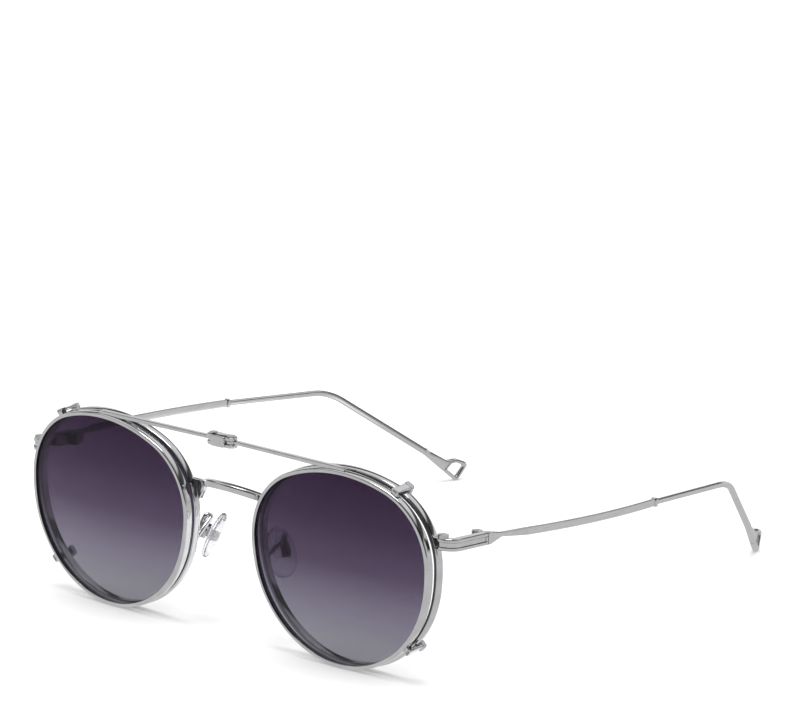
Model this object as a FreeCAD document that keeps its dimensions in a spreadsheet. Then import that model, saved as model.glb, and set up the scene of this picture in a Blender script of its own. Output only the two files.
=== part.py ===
"""Round metal glasses with a clip-on sun front that folds in half.

Millimetres and degrees. +X is the viewer's right, the front faces -Y, +Z is up. The pieces are built
about the middle of the lenses' height, and at the end they are moved together so that the origin is
the middle of the bottom of the whole part. "left" is the side at -X.
"""
import FreeCAD, Part
import Sketcher
import math
import os
import re
import types

Vector = FreeCAD.Vector
Rotation = FreeCAD.Rotation
Placement = FreeCAD.Placement
X_AXIS = Vector(1, 0, 0)
Y_AXIS = Vector(0, 1, 0)
Z_AXIS = Vector(0, 0, 1)
SIDES = (("left", -1), ("right", 1))

doc = FreeCAD.newDocument("clip_on_glasses")

# Driving sizes, each with what it measures
SIZES = (
    ("outline_top", 23.6, "lens opening: middle to top"),
    ("top_radius", 39.8, "lens opening: arc across the top"),
    ("corner_radius", 18.2, "lens opening: arc of the upper corners"),
    ("side_radius", 35.1, "lens opening: arc below the widest place"),
    ("top_turn", 22.0, "turn of half the top arc"),
    ("corner_turn", 68.6, "turn of a corner arc"),
    ("side_turn", 10.7, "turn of a side arc"),
    ("outline_lean", 3.0, "outer side of the lens outline turned up"),
    ("nose_half_gap", 10.91, "middle plane to a clip rim at the nose, before the outline is leaned"),
    ("frame_outset", 0.4, "frame lens farther from the nose than the clip lens"),
    ("wrap_angle", 1.9, "each lens turned round the face"),
    ("front_tilt", 2.2, "lens bottom leaning back"),
    ("base_radius", 155.0, "sphere that lenses and rims follow"),
    ("clip_rim_width", 1.1, "clip rim seen from the front"),
    ("clip_rim_depth", 2.1, "clip rim front to back"),
    ("rim_gap", 1.0, "clip rim to frame rim"),
    ("frame_rim_width", 1.3, "frame rim seen from the front"),
    ("frame_rim_depth", 2.05, "frame rim front to back"),
    ("rim_round", 0.25, "rounding of rim edges"),
    ("groove_depth", 0.4, "lens edge set into its rim"),
    ("tinted_setback", 0.5, "tinted lens behind the rim front"),
    ("tinted_thickness", 1.2, "tinted lens"),
    ("clear_setback", 0.3, "clear lens behind the rim front"),
    ("clear_thickness", 1.3, "clear lens"),
    ("solder_depth", 0.15, "soldered pieces let into each other"),
    ("running_clearance", 0.05, "pin or screw to its bore"),
    ("cut_overrun", 1.0, "cuts reach past the faces they open"),
    ("fold_pin_x", 2.9, "middle plane to a fold pin"),
    ("fold_pin_y", 2.75, "clip front to the fold pins"),
    ("pin_radius", 0.55, "fold pin shank"),
    ("pin_head_radius", 1.05, "fold pin head"),
    ("pin_head_height", 0.25, "fold pin head"),
    ("block_height", 2.7, "fold block"),
    ("block_end_radius", 1.55, "round ends of the fold block"),
    ("plate_half_width", 2.2, "front plate of the fold block"),
    ("plate_thickness", 0.5, "front plate of the fold block"),
    ("plate_round", 0.4, "front plate corners"),
    ("eyelet_radius", 1.3, "eyelet of a brow bar"),
    ("eyelet_clearance", 0.2, "eyelet to the back of its slot"),
    ("slot_clearance", 0.08, "brow bar to the slot above and below"),
    ("bar_height", 0.73, "brow bar at the block"),
    ("bar_tip_height", 0.95, "brow bar at its outer tip"),
    ("bar_depth", 1.7, "brow bar front to back"),
    ("bar_lead", 0.45, "fold pin forward to the front of its bar"),
    ("bar_swell_x", 9.0, "middle plane to where the bar grows taller"),
    ("bar_tip_reach", 2.1, "middle of the clip lens out to the tip of the bar"),
    ("bar_tip_y", 2.3, "clip front to the middle of the bar at its tip"),
    ("bar_seat", 0.35, "brow bar let into the top of the clip rim"),
    ("bar_tip_round", 0.35, "outer tip of the bar"),
    ("upper_claw_angle", 60.0, "direction of the upper claw on the outline"),
    ("lower_claw_angle", -46.0, "direction of the lower claw on the outline"),
    ("claw_width", 2.0, "claw strip along the rim"),
    ("claw_thickness", 0.7, "claw strip"),
    ("claw_setback", 0.5, "claw strip behind the clip rim front"),
    ("claw_standoff", 0.7, "claw strip outside the clip rim"),
    ("claw_clearance", 0.2, "sleeve behind the frame rim"),
    ("hook_reach", 1.1, "claw hook in from the rim edge"),
    ("sleeve_wall", 0.3, "soft sleeve on a claw hook"),
    ("sleeve_round", 0.25, "edges of a soft sleeve"),
    ("bridge_half_span", 9.2, "middle plane to where the arch ends"),
    ("bridge_end_z", 11.5, "lens middle up to the arch ends"),
    ("bridge_rise", 2.3, "arch middle above its ends"),
    ("bridge_bow", 4.5, "arch middle in front of its ends"),
    ("bridge_height", 1.85, "arch section upright"),
    ("bridge_depth", 2.2, "arch section front to back"),
    ("bridge_round", 0.55, "edges of the arch"),
    ("bridge_y", 6.3, "clip front to the shoulders of the bridge"),
    ("shoulder_depth", 1.4, "bridge shoulder front to back"),
    ("shoulder_top_z", 12.4, "lens middle up to the shoulder top"),
    ("shoulder_inner_x", 8.7, "middle plane to the shoulder's inner top"),
    ("shoulder_waist_x", 9.5, "middle plane to the shoulder's waist"),
    ("shoulder_waist_z", 10.1, "lens middle up to the shoulder's waist"),
    ("shoulder_tip_x", 10.3, "middle plane to the shoulder's lower tip"),
    ("shoulder_tip_z", 7.5, "lens middle up to the shoulder's lower tip"),
    ("endpiece_z", 10.85, "lens middle up to the endpiece middle"),
    ("endpiece_y", 7.0, "clip front to the endpiece middle"),
    ("endpiece_height", 3.0, "endpiece and temple butt upright"),
    ("endpiece_thickness", 2.2, "endpiece and temple butt"),
    ("endpiece_reach", 3.81, "side of the frame rim out to the endpiece outside"),
    ("endpiece_corner", 4.0, "outer corner seen from above"),
    ("endpiece_end_y", 19.6, "clip front to the endpiece rear end"),
    ("endpiece_slope", 3.5, "endpiece falling toward its rear end"),
    ("endpiece_round", 0.3, "edges of endpiece and butt"),
    ("panel_height", 1.3, "recessed panel upright"),
    ("panel_depth", 0.25, "recessed panel"),
    ("rim_screw_reach", 0.31, "side of the frame rim out to the rim screw"),
    ("rim_screw_radius", 0.45, "rim screw shank"),
    ("rim_screw_head_radius", 1.35, "rim screw head"),
    ("rim_screw_head_height", 0.9, "rim screw head"),
    ("hinge_y", 19.7, "clip front to the hinge axis"),
    ("knuckle_radius", 1.3, "hinge knuckle"),
    ("knuckle_clearance", 0.12, "knuckle to the butt and the endpiece"),
    ("hinge_height", 2.3, "hinge leaves upright"),
    ("hinge_gap", 0.06, "knuckle to knuckle"),
    ("leaf_thickness", 1.0, "hinge leaf"),
    ("endpiece_leaf_length", 4.6, "hinge leaf of an endpiece"),
    ("temple_leaf_length", 2.2, "hinge leaf of a temple"),
    ("hinge_screw_radius", 0.45, "hinge screw shank"),
    ("hinge_head_radius", 1.35, "hinge screw head"),
    ("hinge_head_height", 0.7, "hinge screw head"),
    ("driver_slot_width", 0.3, "screwdriver slots"),
    ("driver_slot_depth", 0.3, "screwdriver slots"),
    ("butt_gap", 0.2, "endpiece to temple butt"),
    ("butt_end_y", 21.0, "clip front to the butt's rear end"),
    ("panel_end_y", 19.0, "clip front to the rear end of the recessed panel"),
    ("neck_y", 24.6, "clip front to the neck"),
    ("neck_inset", 0.3, "neck in from the endpiece outside"),
    ("neck_thickness", 0.95, "neck"),
    ("neck_height", 1.15, "neck upright"),
    ("neck_drop", 0.65, "neck below the endpiece middle"),
    ("strip_start_y", 32.5, "clip front to where the strip is full"),
    ("strip_start_outset", 1.1, "that place out from the endpiece outside"),
    ("strip_start_drop", 1.25, "that place below the endpiece middle"),
    ("strip_middle_y", 58.0, "clip front to the strip's middle"),
    ("strip_middle_outset", 2.8, "strip's middle out from the endpiece outside"),
    ("strip_middle_drop", 2.85, "strip's middle below the endpiece middle"),
    ("strip_thickness", 0.9, "temple strip"),
    ("strip_height", 1.9, "temple strip upright"),
    ("collar_y", 82.0, "clip front to the collar"),
    ("collar_outset", 1.4, "collar out from the endpiece outside"),
    ("collar_drop", 4.25, "collar below the endpiece middle"),
    ("collar_length", 1.0, "collar along the temple"),
    ("collar_height", 2.3, "collar upright"),
    ("collar_thickness", 1.7, "collar across"),
    ("collar_round", 0.35, "collar edges"),
    ("rod_radius", 0.78, "round temple rod"),
    ("bend_y", 117.7, "clip front to the ear bend"),
    ("bend_inset", 2.6, "ear bend in from the endpiece outside"),
    ("bend_drop", 7.2, "ear bend below the endpiece middle"),
    ("bend_radius", 17.0, "ear bend"),
    ("tip_y", 143.7, "clip front to the start of the tip"),
    ("tip_inset", 15.1, "start of the tip in from the endpiece outside"),
    ("tip_turn_in", 23.3, "tip turned toward the head, seen from above"),
    ("tip_slope", 45.0, "tip running down"),
    ("tip_length", 13.6, "tip along the temple"),
    ("tip_half_height", 0.95, "tip at its start"),
    ("tip_thickness", 1.7, "tip across"),
    ("tip_round", 0.45, "tip edges"),
    ("loop_corner", 12.7, "tip start to the loop's outer corner"),
    ("loop_rise", 6.0, "loop's outer corner off the rod line"),
    ("loop_shoulder", 9.0, "tip start to where the loop bulges"),
    ("loop_shoulder_rise", 4.5, "bulge of the loop off the rod line"),
    ("loop_neck", 7.0, "tip start to where the loop begins"),
    ("loop_neck_rise", 2.3, "tip above the rod line where the loop begins"),
    ("loop_toe", 0.1, "rod line to the lower outer corner of the loop"),
    ("loop_wall", 1.0, "bar round the loop's hole"),
    ("loop_start", 8.6, "tip start to the loop's hole"),
    ("loop_outer_round", 1.0, "outer corners of the loop"),
    ("loop_inner_round", 0.5, "corners of the loop's hole"),
    ("pad_x", 11.1, "middle plane to the pad middle"),
    ("pad_y", 12.0, "clip front to the pad middle"),
    ("pad_z", -3.2, "lens middle to the pad middle"),
    ("pad_half_length", 6.3, "nose pad"),
    ("pad_half_width", 4.5, "nose pad"),
    ("pad_half_thickness", 1.45, "nose pad"),
    ("pad_lean", 22.0, "pad top toward the middle, seen from the front"),
    ("pad_back_lean", 10.0, "pad top back, seen from the side"),
    ("pad_flare", 25.0, "pad's rear edge outward, seen from above"),
    ("box_height", 3.4, "pad box along the pad"),
    ("box_width", 2.3, "pad box across the pad"),
    ("box_depth", 1.9, "pad box off the pad"),
    ("box_floor", 0.45, "floor of the pad box"),
    ("box_clearance", 0.35, "pad box to the pad"),
    ("lug_width", 0.95, "lug in the pad box"),
    ("lug_height", 2.2, "lug in the pad box"),
    ("lug_clearance", 0.1, "lug to the side walls of its box"),
    ("lug_end_clearance", 0.3, "lug to the floor of its box"),
    ("pad_screw_radius", 0.4, "pad screw shank"),
    ("pad_screw_head_radius", 0.75, "pad screw head"),
    ("pad_screw_head_height", 0.4, "pad screw head"),
    ("arm_radius", 0.6, "pad arm wire"),
    ("arm_root_angle", -9.0, "direction of the arm's root on the outline at the nose"),
    ("arm_crest_y", 14.2, "clip front to the corner at the top of the arm"),
    ("arm_crest_z", 2.7, "lens middle up to that corner"),
    ("arm_crest_outset", 0.3, "that corner out from the root of the arm"),
    ("arm_crest_bend", 0.64, "bend at the top of the arm"),
    ("arm_foot_bend", 0.66, "bend above the pad box"),
)

sheet = doc.addObject("Spreadsheet::Sheet", "Sizes")
for row, (alias, amount, meaning) in enumerate(SIZES, start=1):
    sheet.set("A%d" % row, str(amount))
    sheet.setAlias("A%d" % row, alias)
    sheet.set("B%d" % row, meaning)
doc.recompute()
dim = types.SimpleNamespace(**{alias: float(sheet.get(alias)) for alias, amount, meaning in SIZES})
ALIASES = {alias for alias, amount, meaning in SIZES}

subparts = []
landmarks = {}


def keep(thing, label):
    """Name a finished document object as a sub-part of the model."""
    thing.Label = label
    subparts.append(thing)
    return thing


def bind(thing, **texts):
    """Tie properties of a document object to sums of the sheet's named sizes."""
    for name, text in texts.items():
        linked = re.sub(r"[a-z_]+", lambda word: "Sizes." + word.group() if word.group() in ALIASES
                        else word.group(), text)
        thing.setExpression(name, linked)


def place(origin, x_dir=X_AXIS, z_dir=Z_AXIS):
    """Placement with a given origin, X direction and Z direction."""
    z_unit = Vector(z_dir).normalize()
    x_flat = x_dir - z_unit * x_dir.dot(z_unit)
    return Placement(origin, Rotation(x_flat, Vector(), z_unit, "ZXY"))


def solid_feature(label, shape, placement=None):
    """Sub-part whose shape is worked out here from the sheet's sizes."""
    if shape.ShapeType != "Solid" and len(shape.Solids) == 1:
        shape = shape.Solids[0]
    thing = doc.addObject("Part::Feature", label)
    thing.Shape = shape
    if placement is not None:
        thing.Placement = placement
    return keep(thing, label)


def primitive(kind, name, placement, **texts):
    """Part primitive with its sizes tied to the sheet."""
    thing = doc.addObject("Part::" + kind, name)
    bind(thing, **texts)
    thing.Placement = placement
    return thing


def joined(name, pieces):
    """Fuse document objects into one."""
    thing = doc.addObject("Part::MultiFuse", name)
    thing.Shapes = pieces
    thing.Refine = True
    return thing


def cut(name, base, tool):
    """Cut one document object with another."""
    thing = doc.addObject("Part::Cut", name)
    thing.Base = base
    thing.Tool = tool
    return thing


def origin_plane(body, role):
    """One of a body's own origin planes or axes."""
    return [item for item in body.Origin.OriginFeatures if item.Role == role][0]


def polygon_sketch(body, name, role, points):
    """Closed sketch on an origin plane, each corner tied to sums of the sheet's sizes."""
    sketch = body.newObject("Sketcher::SketchObject", name)
    sketch.AttachmentSupport = [(origin_plane(body, role), "")]
    sketch.MapMode = "FlatFace"
    # Corners start as a plain convex ring, and the ties below move them to their places
    count = len(points)
    turns = [2 * math.pi * n / count for n in range(count)]
    ring = [Vector(math.cos(turn), math.sin(turn), 0) for turn in turns]
    for n in range(count):
        sketch.addGeometry(Part.LineSegment(ring[n], ring[(n + 1) % count]))
    for n in range(count):
        sketch.addConstraint(Sketcher.Constraint("Coincident", n, 2, (n + 1) % count, 1))
    for n, (across, along) in enumerate(points):
        for kind, text, start in (("DistanceX", across, ring[n].x), ("DistanceY", along, ring[n].y)):
            index = sketch.addConstraint(Sketcher.Constraint(kind, -1, 1, n, 1, start))
            bind(sketch, **{"Constraints[%d]" % index: text})
    return sketch


def circle_sketch(body, name, role, across, along, radius):
    """Circle on an origin plane, tied to the sheet."""
    sketch = body.newObject("Sketcher::SketchObject", name)
    sketch.AttachmentSupport = [(origin_plane(body, role), "")]
    sketch.MapMode = "FlatFace"
    sketch.addGeometry(Part.Circle(Vector(), Z_AXIS, dim.pin_radius))
    ties = (("DistanceX", across), ("DistanceY", along))
    for kind, text in ties:
        index = sketch.addConstraint(Sketcher.Constraint(kind, -1, 1, 0, 3, dim.pin_radius))
        bind(sketch, **{"Constraints[%d]" % index: text})
    index = sketch.addConstraint(Sketcher.Constraint("Radius", 0, dim.pin_radius))
    bind(sketch, **{"Constraints[%d]" % index: radius})
    return sketch


def turned_pin(label, placement, shank_radius, shank_length, head_radius, head_height, slotted):
    """Pin or screw: head and shank turned about the body's Z axis, head above z = 0."""
    body = doc.addObject("PartDesign::Body", label)
    profile = polygon_sketch(body, label + "_profile", "XZ_Plane", (
        ("0", "-(%s)" % shank_length), (shank_radius, "-(%s)" % shank_length), (shank_radius, "0"),
        (head_radius, "0"), (head_radius, head_height), ("0", head_height)))
    turned = body.newObject("PartDesign::Revolution", label + "_turned")
    turned.Profile = profile
    turned.ReferenceAxis = (profile, ["V_Axis"])
    turned.Angle = 360
    doc.recompute()
    if slotted:
        depth = "%s - driver_slot_depth" % head_height
        top = "%s + cut_overrun" % head_height
        slot = polygon_sketch(body, label + "_slot", "XZ_Plane", (
            ("-driver_slot_width/2", depth), ("driver_slot_width/2", depth),
            ("driver_slot_width/2", top), ("-driver_slot_width/2", top)))
        pocket = body.newObject("PartDesign::Pocket", label + "_driver")
        pocket.Profile = slot
        pocket.Midplane = True
        bind(pocket, Length="4*(%s)" % head_radius)
        doc.recompute()
    body.Placement = placement
    return keep(body, label)


# Lens outline: arcs that meet smoothly, as (centre, radius, first and last direction)
def outline_arcs():
    """Right half of the lens opening from the top to the bottom, before it is leaned."""
    arcs = []
    point = Vector(0, 0, dim.outline_top)
    facing = 90.0
    for radius, turn in ((dim.top_radius, dim.top_turn), (dim.corner_radius, dim.corner_turn),
                         (dim.side_radius, dim.side_turn)):
        centre = point - polar(facing) * radius
        arcs.append((centre, radius, facing, facing - turn))
        facing -= turn
        point = centre + polar(facing) * radius
    radius = point.x / math.cos(math.radians(facing))
    arcs.append((point - polar(facing) * radius, radius, facing, -90.0))
    return arcs


def polar(degrees):
    """Unit vector in the lens plane, degrees up from +X."""
    return Vector(math.cos(math.radians(degrees)), 0, math.sin(math.radians(degrees)))


def leaned(point, side):
    """Lean a point of the right outline and put it on its side."""
    turned = Rotation(Y_AXIS, -dim.outline_lean).multVec(point)
    return Vector(side * turned.x, turned.y, turned.z)


def outline_point(side, direction, grow, flip=1):
    """Point of the grown outline that faces a given way, and that way.

    The outer half of the outline has flip 1, and the half at the nose has flip -1.
    """
    for centre, radius, first, last in outline_arcs():
        if last <= direction <= first:
            facing = polar(direction)
            point = centre + facing * (radius + grow)
            point.x *= flip
            facing.x *= flip
            return leaned(point, side), leaned(facing, side)
    raise ValueError("no arc of the outline faces that way")


def outline_half_width():
    """Half of the width of the lens opening, before it is leaned."""
    return max(centre.x + radius for centre, radius, first, last in outline_arcs() if last <= 0 <= first)


def outline_wire(side, grow):
    """Closed lens outline, grown outward."""
    right = outline_arcs()
    full = [(c, r, a, b) for c, r, a, b in right]
    full += [(Vector(-c.x, c.y, c.z), r, 180 - b, 180 - a) for c, r, a, b in reversed(right)]
    edges = []
    for centre, radius, first, last in full:
        angles = (first, (first + last) / 2, last)
        ends = [leaned(centre + polar(angle) * (radius + grow), side) for angle in angles]
        edges.append(Part.Arc(*ends).toShape())
    return Part.Wire(edges)


def sag(distance):
    """How far the sphere of the lenses falls back at a distance from the lens middle."""
    return dim.base_radius - math.sqrt(dim.base_radius ** 2 - distance ** 2)


def curved_slab(side, inner_grow, outer_grow, front, back):
    """Piece between two outlines (or inside one) and between two concentric spheres."""
    wires = [outline_wire(side, outer_grow)]
    if inner_grow is not None:
        wires.append(outline_wire(side, inner_grow))
    reach = dim.outline_top
    prism = Part.Face(wires, "Part::FaceMakerBullseye").extrude(Vector(0, 2 * reach, 0))
    prism.translate(Vector(0, -reach, 0))
    middle = Vector(0, dim.base_radius, 0)
    outer = Part.makeSphere(dim.base_radius - front, middle)
    shell = outer.cut(Part.makeSphere(dim.base_radius - back, middle))
    return prism.common(shell).Solids[0]


def lens_place(side, centre_x):
    """Where a lens and its rim stand: turned round the face and tilted."""
    turn = Rotation(Z_AXIS, side * dim.wrap_angle).multiply(Rotation(X_AXIS, dim.front_tilt))
    return Placement(Vector(side * centre_x, 0, 0), turn)


clip_lens_x = dim.nose_half_gap + dim.clip_rim_width + outline_half_width()
frame_lens_x = clip_lens_x + dim.frame_outset
rim_side_x = frame_lens_x + outline_half_width() + dim.frame_rim_width
endpiece_outer_x = rim_side_x + dim.endpiece_reach
rim_screw_x = rim_side_x + dim.rim_screw_reach
bar_tip_x = clip_lens_x + dim.bar_tip_reach
frame_front = dim.clip_rim_depth + dim.rim_gap
frame_back = frame_front + dim.frame_rim_depth


def rim_and_lens(side, prefix, centre_x, width, front, depth, names, setback, thickness):
    """Rim with its groove, and the lens that fills it."""
    ring = curved_slab(side, 0, width, front, front + depth)
    loops = [edge for edge in ring.Edges if edge.Length > 2 * depth]
    ring = ring.makeFillet(dim.rim_round, loops)
    lens = curved_slab(side, None, dim.groove_depth, front + setback, front + setback + thickness)
    rim = solid_feature(prefix + names[0], ring.cut(lens), lens_place(side, centre_x))
    solid_feature(prefix + names[1], lens, lens_place(side, centre_x))
    return rim


def outer_block(side):
    """Everything within a frame rim's outside, less the solder depth: it cuts what ends at the rim."""
    reach = dim.outline_top
    outline = outline_wire(side, dim.frame_rim_width - dim.solder_depth)
    block = Part.Face(outline).extrude(Vector(0, 2 * reach, 0))
    block.translate(Vector(0, -reach, 0))
    block.Placement = lens_place(side, frame_lens_x).multiply(block.Placement)
    return block


def rectangle(middle, across, upright, width, height):
    """Closed rectangle about a middle point."""
    corners = [middle + across * (width * a / 2) + upright * (height * b / 2)
               for a, b in ((-1, -1), (1, -1), (1, 1), (-1, 1))]
    return Part.makePolygon(corners + corners[:1])


def corner_wire(points, radii, closed):
    """Straight runs joined by tangent arcs of the given radii at the corners."""
    count = len(points)
    edges = []
    turns = {}
    for n in range(count) if closed else range(1, count - 1):
        before = (points[n - 1] - points[n]).normalize()
        after = (points[(n + 1) % count] - points[n]).normalize()
        half = before.getAngle(after) / 2
        reach = radii[n] / math.tan(half)
        inner = points[n] + (before + after).normalize() * (radii[n] / math.sin(half))
        crown = inner + (points[n] - inner).normalize() * radii[n]
        turns[n] = (points[n] + before * reach, crown, points[n] + after * reach)
    last = count if closed else count - 1
    for n in range(last):
        following = (n + 1) % count
        start = turns[n][2] if n in turns else points[n]
        end = turns[following][0] if following in turns else points[following]
        edges.append(Part.LineSegment(start, end).toShape())
        if following in turns:
            edges.append(Part.Arc(*turns[following]).toShape())
    return Part.Wire(edges)


def inset_corners(points, wall):
    """Corners of a convex outline, counter-clockwise in the XY plane, moved in by a wall."""
    count = len(points)
    moved = []
    for n in range(count):
        before = (points[n] - points[n - 1]).normalize()
        after = (points[(n + 1) % count] - points[n]).normalize()
        inward = Z_AXIS.cross(before) + Z_AXIS.cross(after)
        half = before.getAngle(after) / 2
        moved.append(points[n] + inward.normalize() * (wall / math.cos(half)))
    return moved


def wire_tube(path, radius):
    """Round wire along a path of lines and arcs."""
    first = path.Edges[0]
    start = first.valueAt(first.FirstParameter)
    heading = first.tangentAt(first.FirstParameter)
    ring = Part.Wire([Part.Circle(start, heading, radius).toShape()])
    return path.makePipeShell([ring], True, False)


# Rims and lenses
for name, side in SIDES:
    frame_rim = rim_and_lens(
        side, name, frame_lens_x, dim.frame_rim_width, frame_front, dim.frame_rim_depth,
        ("_frame_rim", "_clear_lens"), dim.clear_setback, dim.clear_thickness)
    rim_and_lens(
        side, name, clip_lens_x, dim.clip_rim_width, 0, dim.clip_rim_depth,
        ("_clip_rim", "_tinted_lens"), dim.tinted_setback, dim.tinted_thickness)
ground = frame_rim.Shape.optimalBoundingBox(False).ZMin

# Bridge: an arch that rises and bows forward between two shoulder plates, which end at the rims
arch_end = Vector(dim.bridge_half_span, dim.bridge_y, dim.bridge_end_z)
arch_top = Vector(0, dim.bridge_y - dim.bridge_bow, dim.bridge_end_z + dim.bridge_rise)
arch_start = Vector(-arch_end.x, arch_end.y, arch_end.z)
arch_path = Part.Arc(arch_start, arch_top, arch_end).toShape()
arch_turn = Rotation(X_AXIS, arch_path.tangentAt(arch_path.FirstParameter))
arch_section = rectangle(arch_start, arch_turn.multVec(Y_AXIS), arch_turn.multVec(Z_AXIS),
                         dim.bridge_depth, dim.bridge_height)
arch_corners = [vertex.Point for vertex in arch_section.OrderedVertexes]
arch_section = corner_wire(arch_corners, [dim.bridge_round] * len(arch_corners), True)
bridge = Part.Wire([arch_path]).makePipeShell([arch_section], True, False)
for name, side in SIDES:
    far_x = frame_lens_x - dim.corner_radius
    corners = (
        (dim.shoulder_inner_x, dim.shoulder_top_z), (far_x, dim.shoulder_top_z),
        (far_x, dim.shoulder_tip_z), (dim.shoulder_tip_x, dim.shoulder_tip_z),
        (dim.shoulder_waist_x, dim.shoulder_waist_z), (dim.shoulder_inner_x, dim.bridge_end_z))
    front_y = dim.bridge_y - dim.shoulder_depth / 2
    points = [Vector(side * x, front_y, z) for x, z in corners]
    plate = Part.Face(Part.makePolygon(points + points[:1])).extrude(Vector(0, dim.shoulder_depth, 0))
    bridge = bridge.fuse(plate).cut(outer_block(side))
solid_feature("bridge", bridge.removeSplitter())

# Endpieces: a flat band bent back at the corner, with a panel let into its outside
butt_inner_x = endpiece_outer_x - dim.endpiece_thickness
hinge_x = butt_inner_x - dim.knuckle_radius - dim.knuckle_clearance
endpiece_low = dim.endpiece_z - dim.endpiece_height / 2
endpiece_top = dim.endpiece_z + dim.endpiece_height / 2
panel_low = dim.endpiece_z - dim.panel_height / 2
slope_pivot = Vector(0, dim.endpiece_y, dim.endpiece_z)
sloped = Placement(Vector(), Rotation(X_AXIS, -dim.endpiece_slope), slope_pivot)


def on_slope(shape):
    """Shape built level, turned to the slope of the endpieces."""
    turned = shape.copy()
    turned.Placement = sloped.multiply(turned.Placement)
    return turned


def bent_band(side, outside, thickness, low, height, start_x, end_y):
    """Upright band that runs out from the rim and bends back, with its outside at a given X."""
    front_y = dim.endpiece_y - dim.endpiece_thickness / 2 - (outside - endpiece_outer_x)
    radius = dim.endpiece_corner + (outside - endpiece_outer_x)
    plan = [Vector(side * x, y, low) for x, y in (
        (start_x, front_y), (outside, front_y), (outside, end_y), (outside - thickness, end_y),
        (outside - thickness, front_y + thickness), (start_x, front_y + thickness))]
    outer = corner_wire(plan[:3], (0, radius, 0), False)
    inner = corner_wire(plan[3:], (0, radius - thickness, 0), False)
    ends = [Part.LineSegment(plan[2], plan[3]).toShape(), Part.LineSegment(plan[5], plan[0]).toShape()]
    wire = Part.Wire(Part.sortEdges(outer.Edges + inner.Edges + ends)[0])
    return Part.Face(wire).extrude(Vector(0, 0, height))


def level_runs(band):
    """Upper and lower edges of a bent band along its run, without those of its two cut ends."""
    def lies_level(edge):
        box = edge.BoundBox
        longer = box.DiagonalLength > dim.endpiece_thickness + dim.rim_round
        return longer and box.ZLength < dim.endpiece_round
    return [edge for edge in band.Edges if lies_level(edge)]


for name, side in SIDES:
    band = bent_band(side, endpiece_outer_x, dim.endpiece_thickness, endpiece_low, dim.endpiece_height,
                     frame_lens_x, dim.endpiece_end_y)
    band = band.makeFillet(dim.endpiece_round, level_runs(band))
    panel = bent_band(side, endpiece_outer_x + dim.cut_overrun, dim.panel_depth + dim.cut_overrun,
                      panel_low, dim.panel_height, frame_lens_x, dim.panel_end_y)
    hole_low = Vector(side * rim_screw_x, dim.endpiece_y, endpiece_low - dim.cut_overrun / 2)
    screw_hole = Part.makeCylinder(dim.rim_screw_radius + dim.running_clearance,
                                   dim.endpiece_height + dim.cut_overrun, hole_low)
    band = on_slope(band.cut(panel).cut(screw_hole))
    solid_feature(name + "_endpiece", band.cut(outer_block(side)))
    screw_seat = Placement(Vector(side * rim_screw_x, dim.endpiece_y, endpiece_top), Rotation())
    turned_pin(name + "_rim_screw", sloped.multiply(screw_seat), "rim_screw_radius", "endpiece_height",
               "rim_screw_head_radius", "rim_screw_head_height", True)

# Hinges: two knuckles on the endpiece, one between them on the temple
KNUCKLE = "(hinge_height - 2*hinge_gap)/3"
knuckle_height = (dim.hinge_height - 2 * dim.hinge_gap) / 3
hinge_reach = dim.knuckle_radius + dim.knuckle_clearance


def hinge_leaf(label, side, plate_y, plate_length, arm_y, levels):
    """Plate on the inside of a butt or endpiece, with arms to its knuckles, bored for the screw."""
    left_x = butt_inner_x - dim.leaf_thickness if side > 0 else -butt_inner_x

    def spot(x, y, z):
        return sloped.multiply(Placement(Vector(x, y, z), Rotation()))

    pieces = [primitive("Box", label + "_plate", spot(left_x, plate_y, endpiece_low),
                        Length="leaf_thickness", Width=plate_length, Height="hinge_height")]
    for number, level in enumerate(levels):
        low = endpiece_low + level * (knuckle_height + dim.hinge_gap)
        pieces.append(primitive(
            "Box", "%s_arm_%d" % (label, number), spot(left_x, arm_y, low),
            Length="leaf_thickness", Width="knuckle_radius + knuckle_clearance", Height=KNUCKLE))
        pieces.append(primitive(
            "Cylinder", "%s_knuckle_%d" % (label, number), spot(side * hinge_x, dim.hinge_y, low),
            Radius="knuckle_radius", Height=KNUCKLE))
    bore_low = spot(side * hinge_x, dim.hinge_y, endpiece_low - dim.cut_overrun)
    bore = primitive("Cylinder", label + "_bore", bore_low, Radius="hinge_screw_radius + running_clearance",
                     Height="hinge_height + 2*cut_overrun")
    return keep(cut(label, joined(label + "_blank", pieces), bore), label)


for name, side in SIDES:
    front_arm_y = dim.hinge_y - hinge_reach
    hinge_leaf(name + "_endpiece_leaf", side, front_arm_y - dim.endpiece_leaf_length,
               "endpiece_leaf_length", front_arm_y, (0, 2))
    hinge_leaf(name + "_temple_leaf", side, dim.hinge_y + hinge_reach,
               "temple_leaf_length", dim.hinge_y, (1,))
    leaf_top = Vector(side * hinge_x, dim.hinge_y, endpiece_low + dim.hinge_height)
    screw_seat = Placement(leaf_top, Rotation())
    turned_pin(name + "_hinge_screw", sloped.multiply(screw_seat), "hinge_screw_radius", "hinge_height",
               "hinge_head_radius", "hinge_head_height", True)
    hinge_middle = Vector(side * hinge_x, dim.hinge_y, dim.endpiece_z)
    landmarks[name + "_hinge_point"] = sloped.multVec(hinge_middle)
    landmarks[name + "_hinge_axis"] = sloped.Rotation.multVec(Z_AXIS)

# Temples: butt, neck and strip in one piece, a collar, a round rod with the ear bend, and a soft tip
def at_drop(side, outset, y, drop):
    """Point of a temple: how far out from the endpiece outside and below the endpiece middle it lies."""
    return Vector(side * (endpiece_outer_x + outset), y, dim.endpiece_z - drop)


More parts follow.
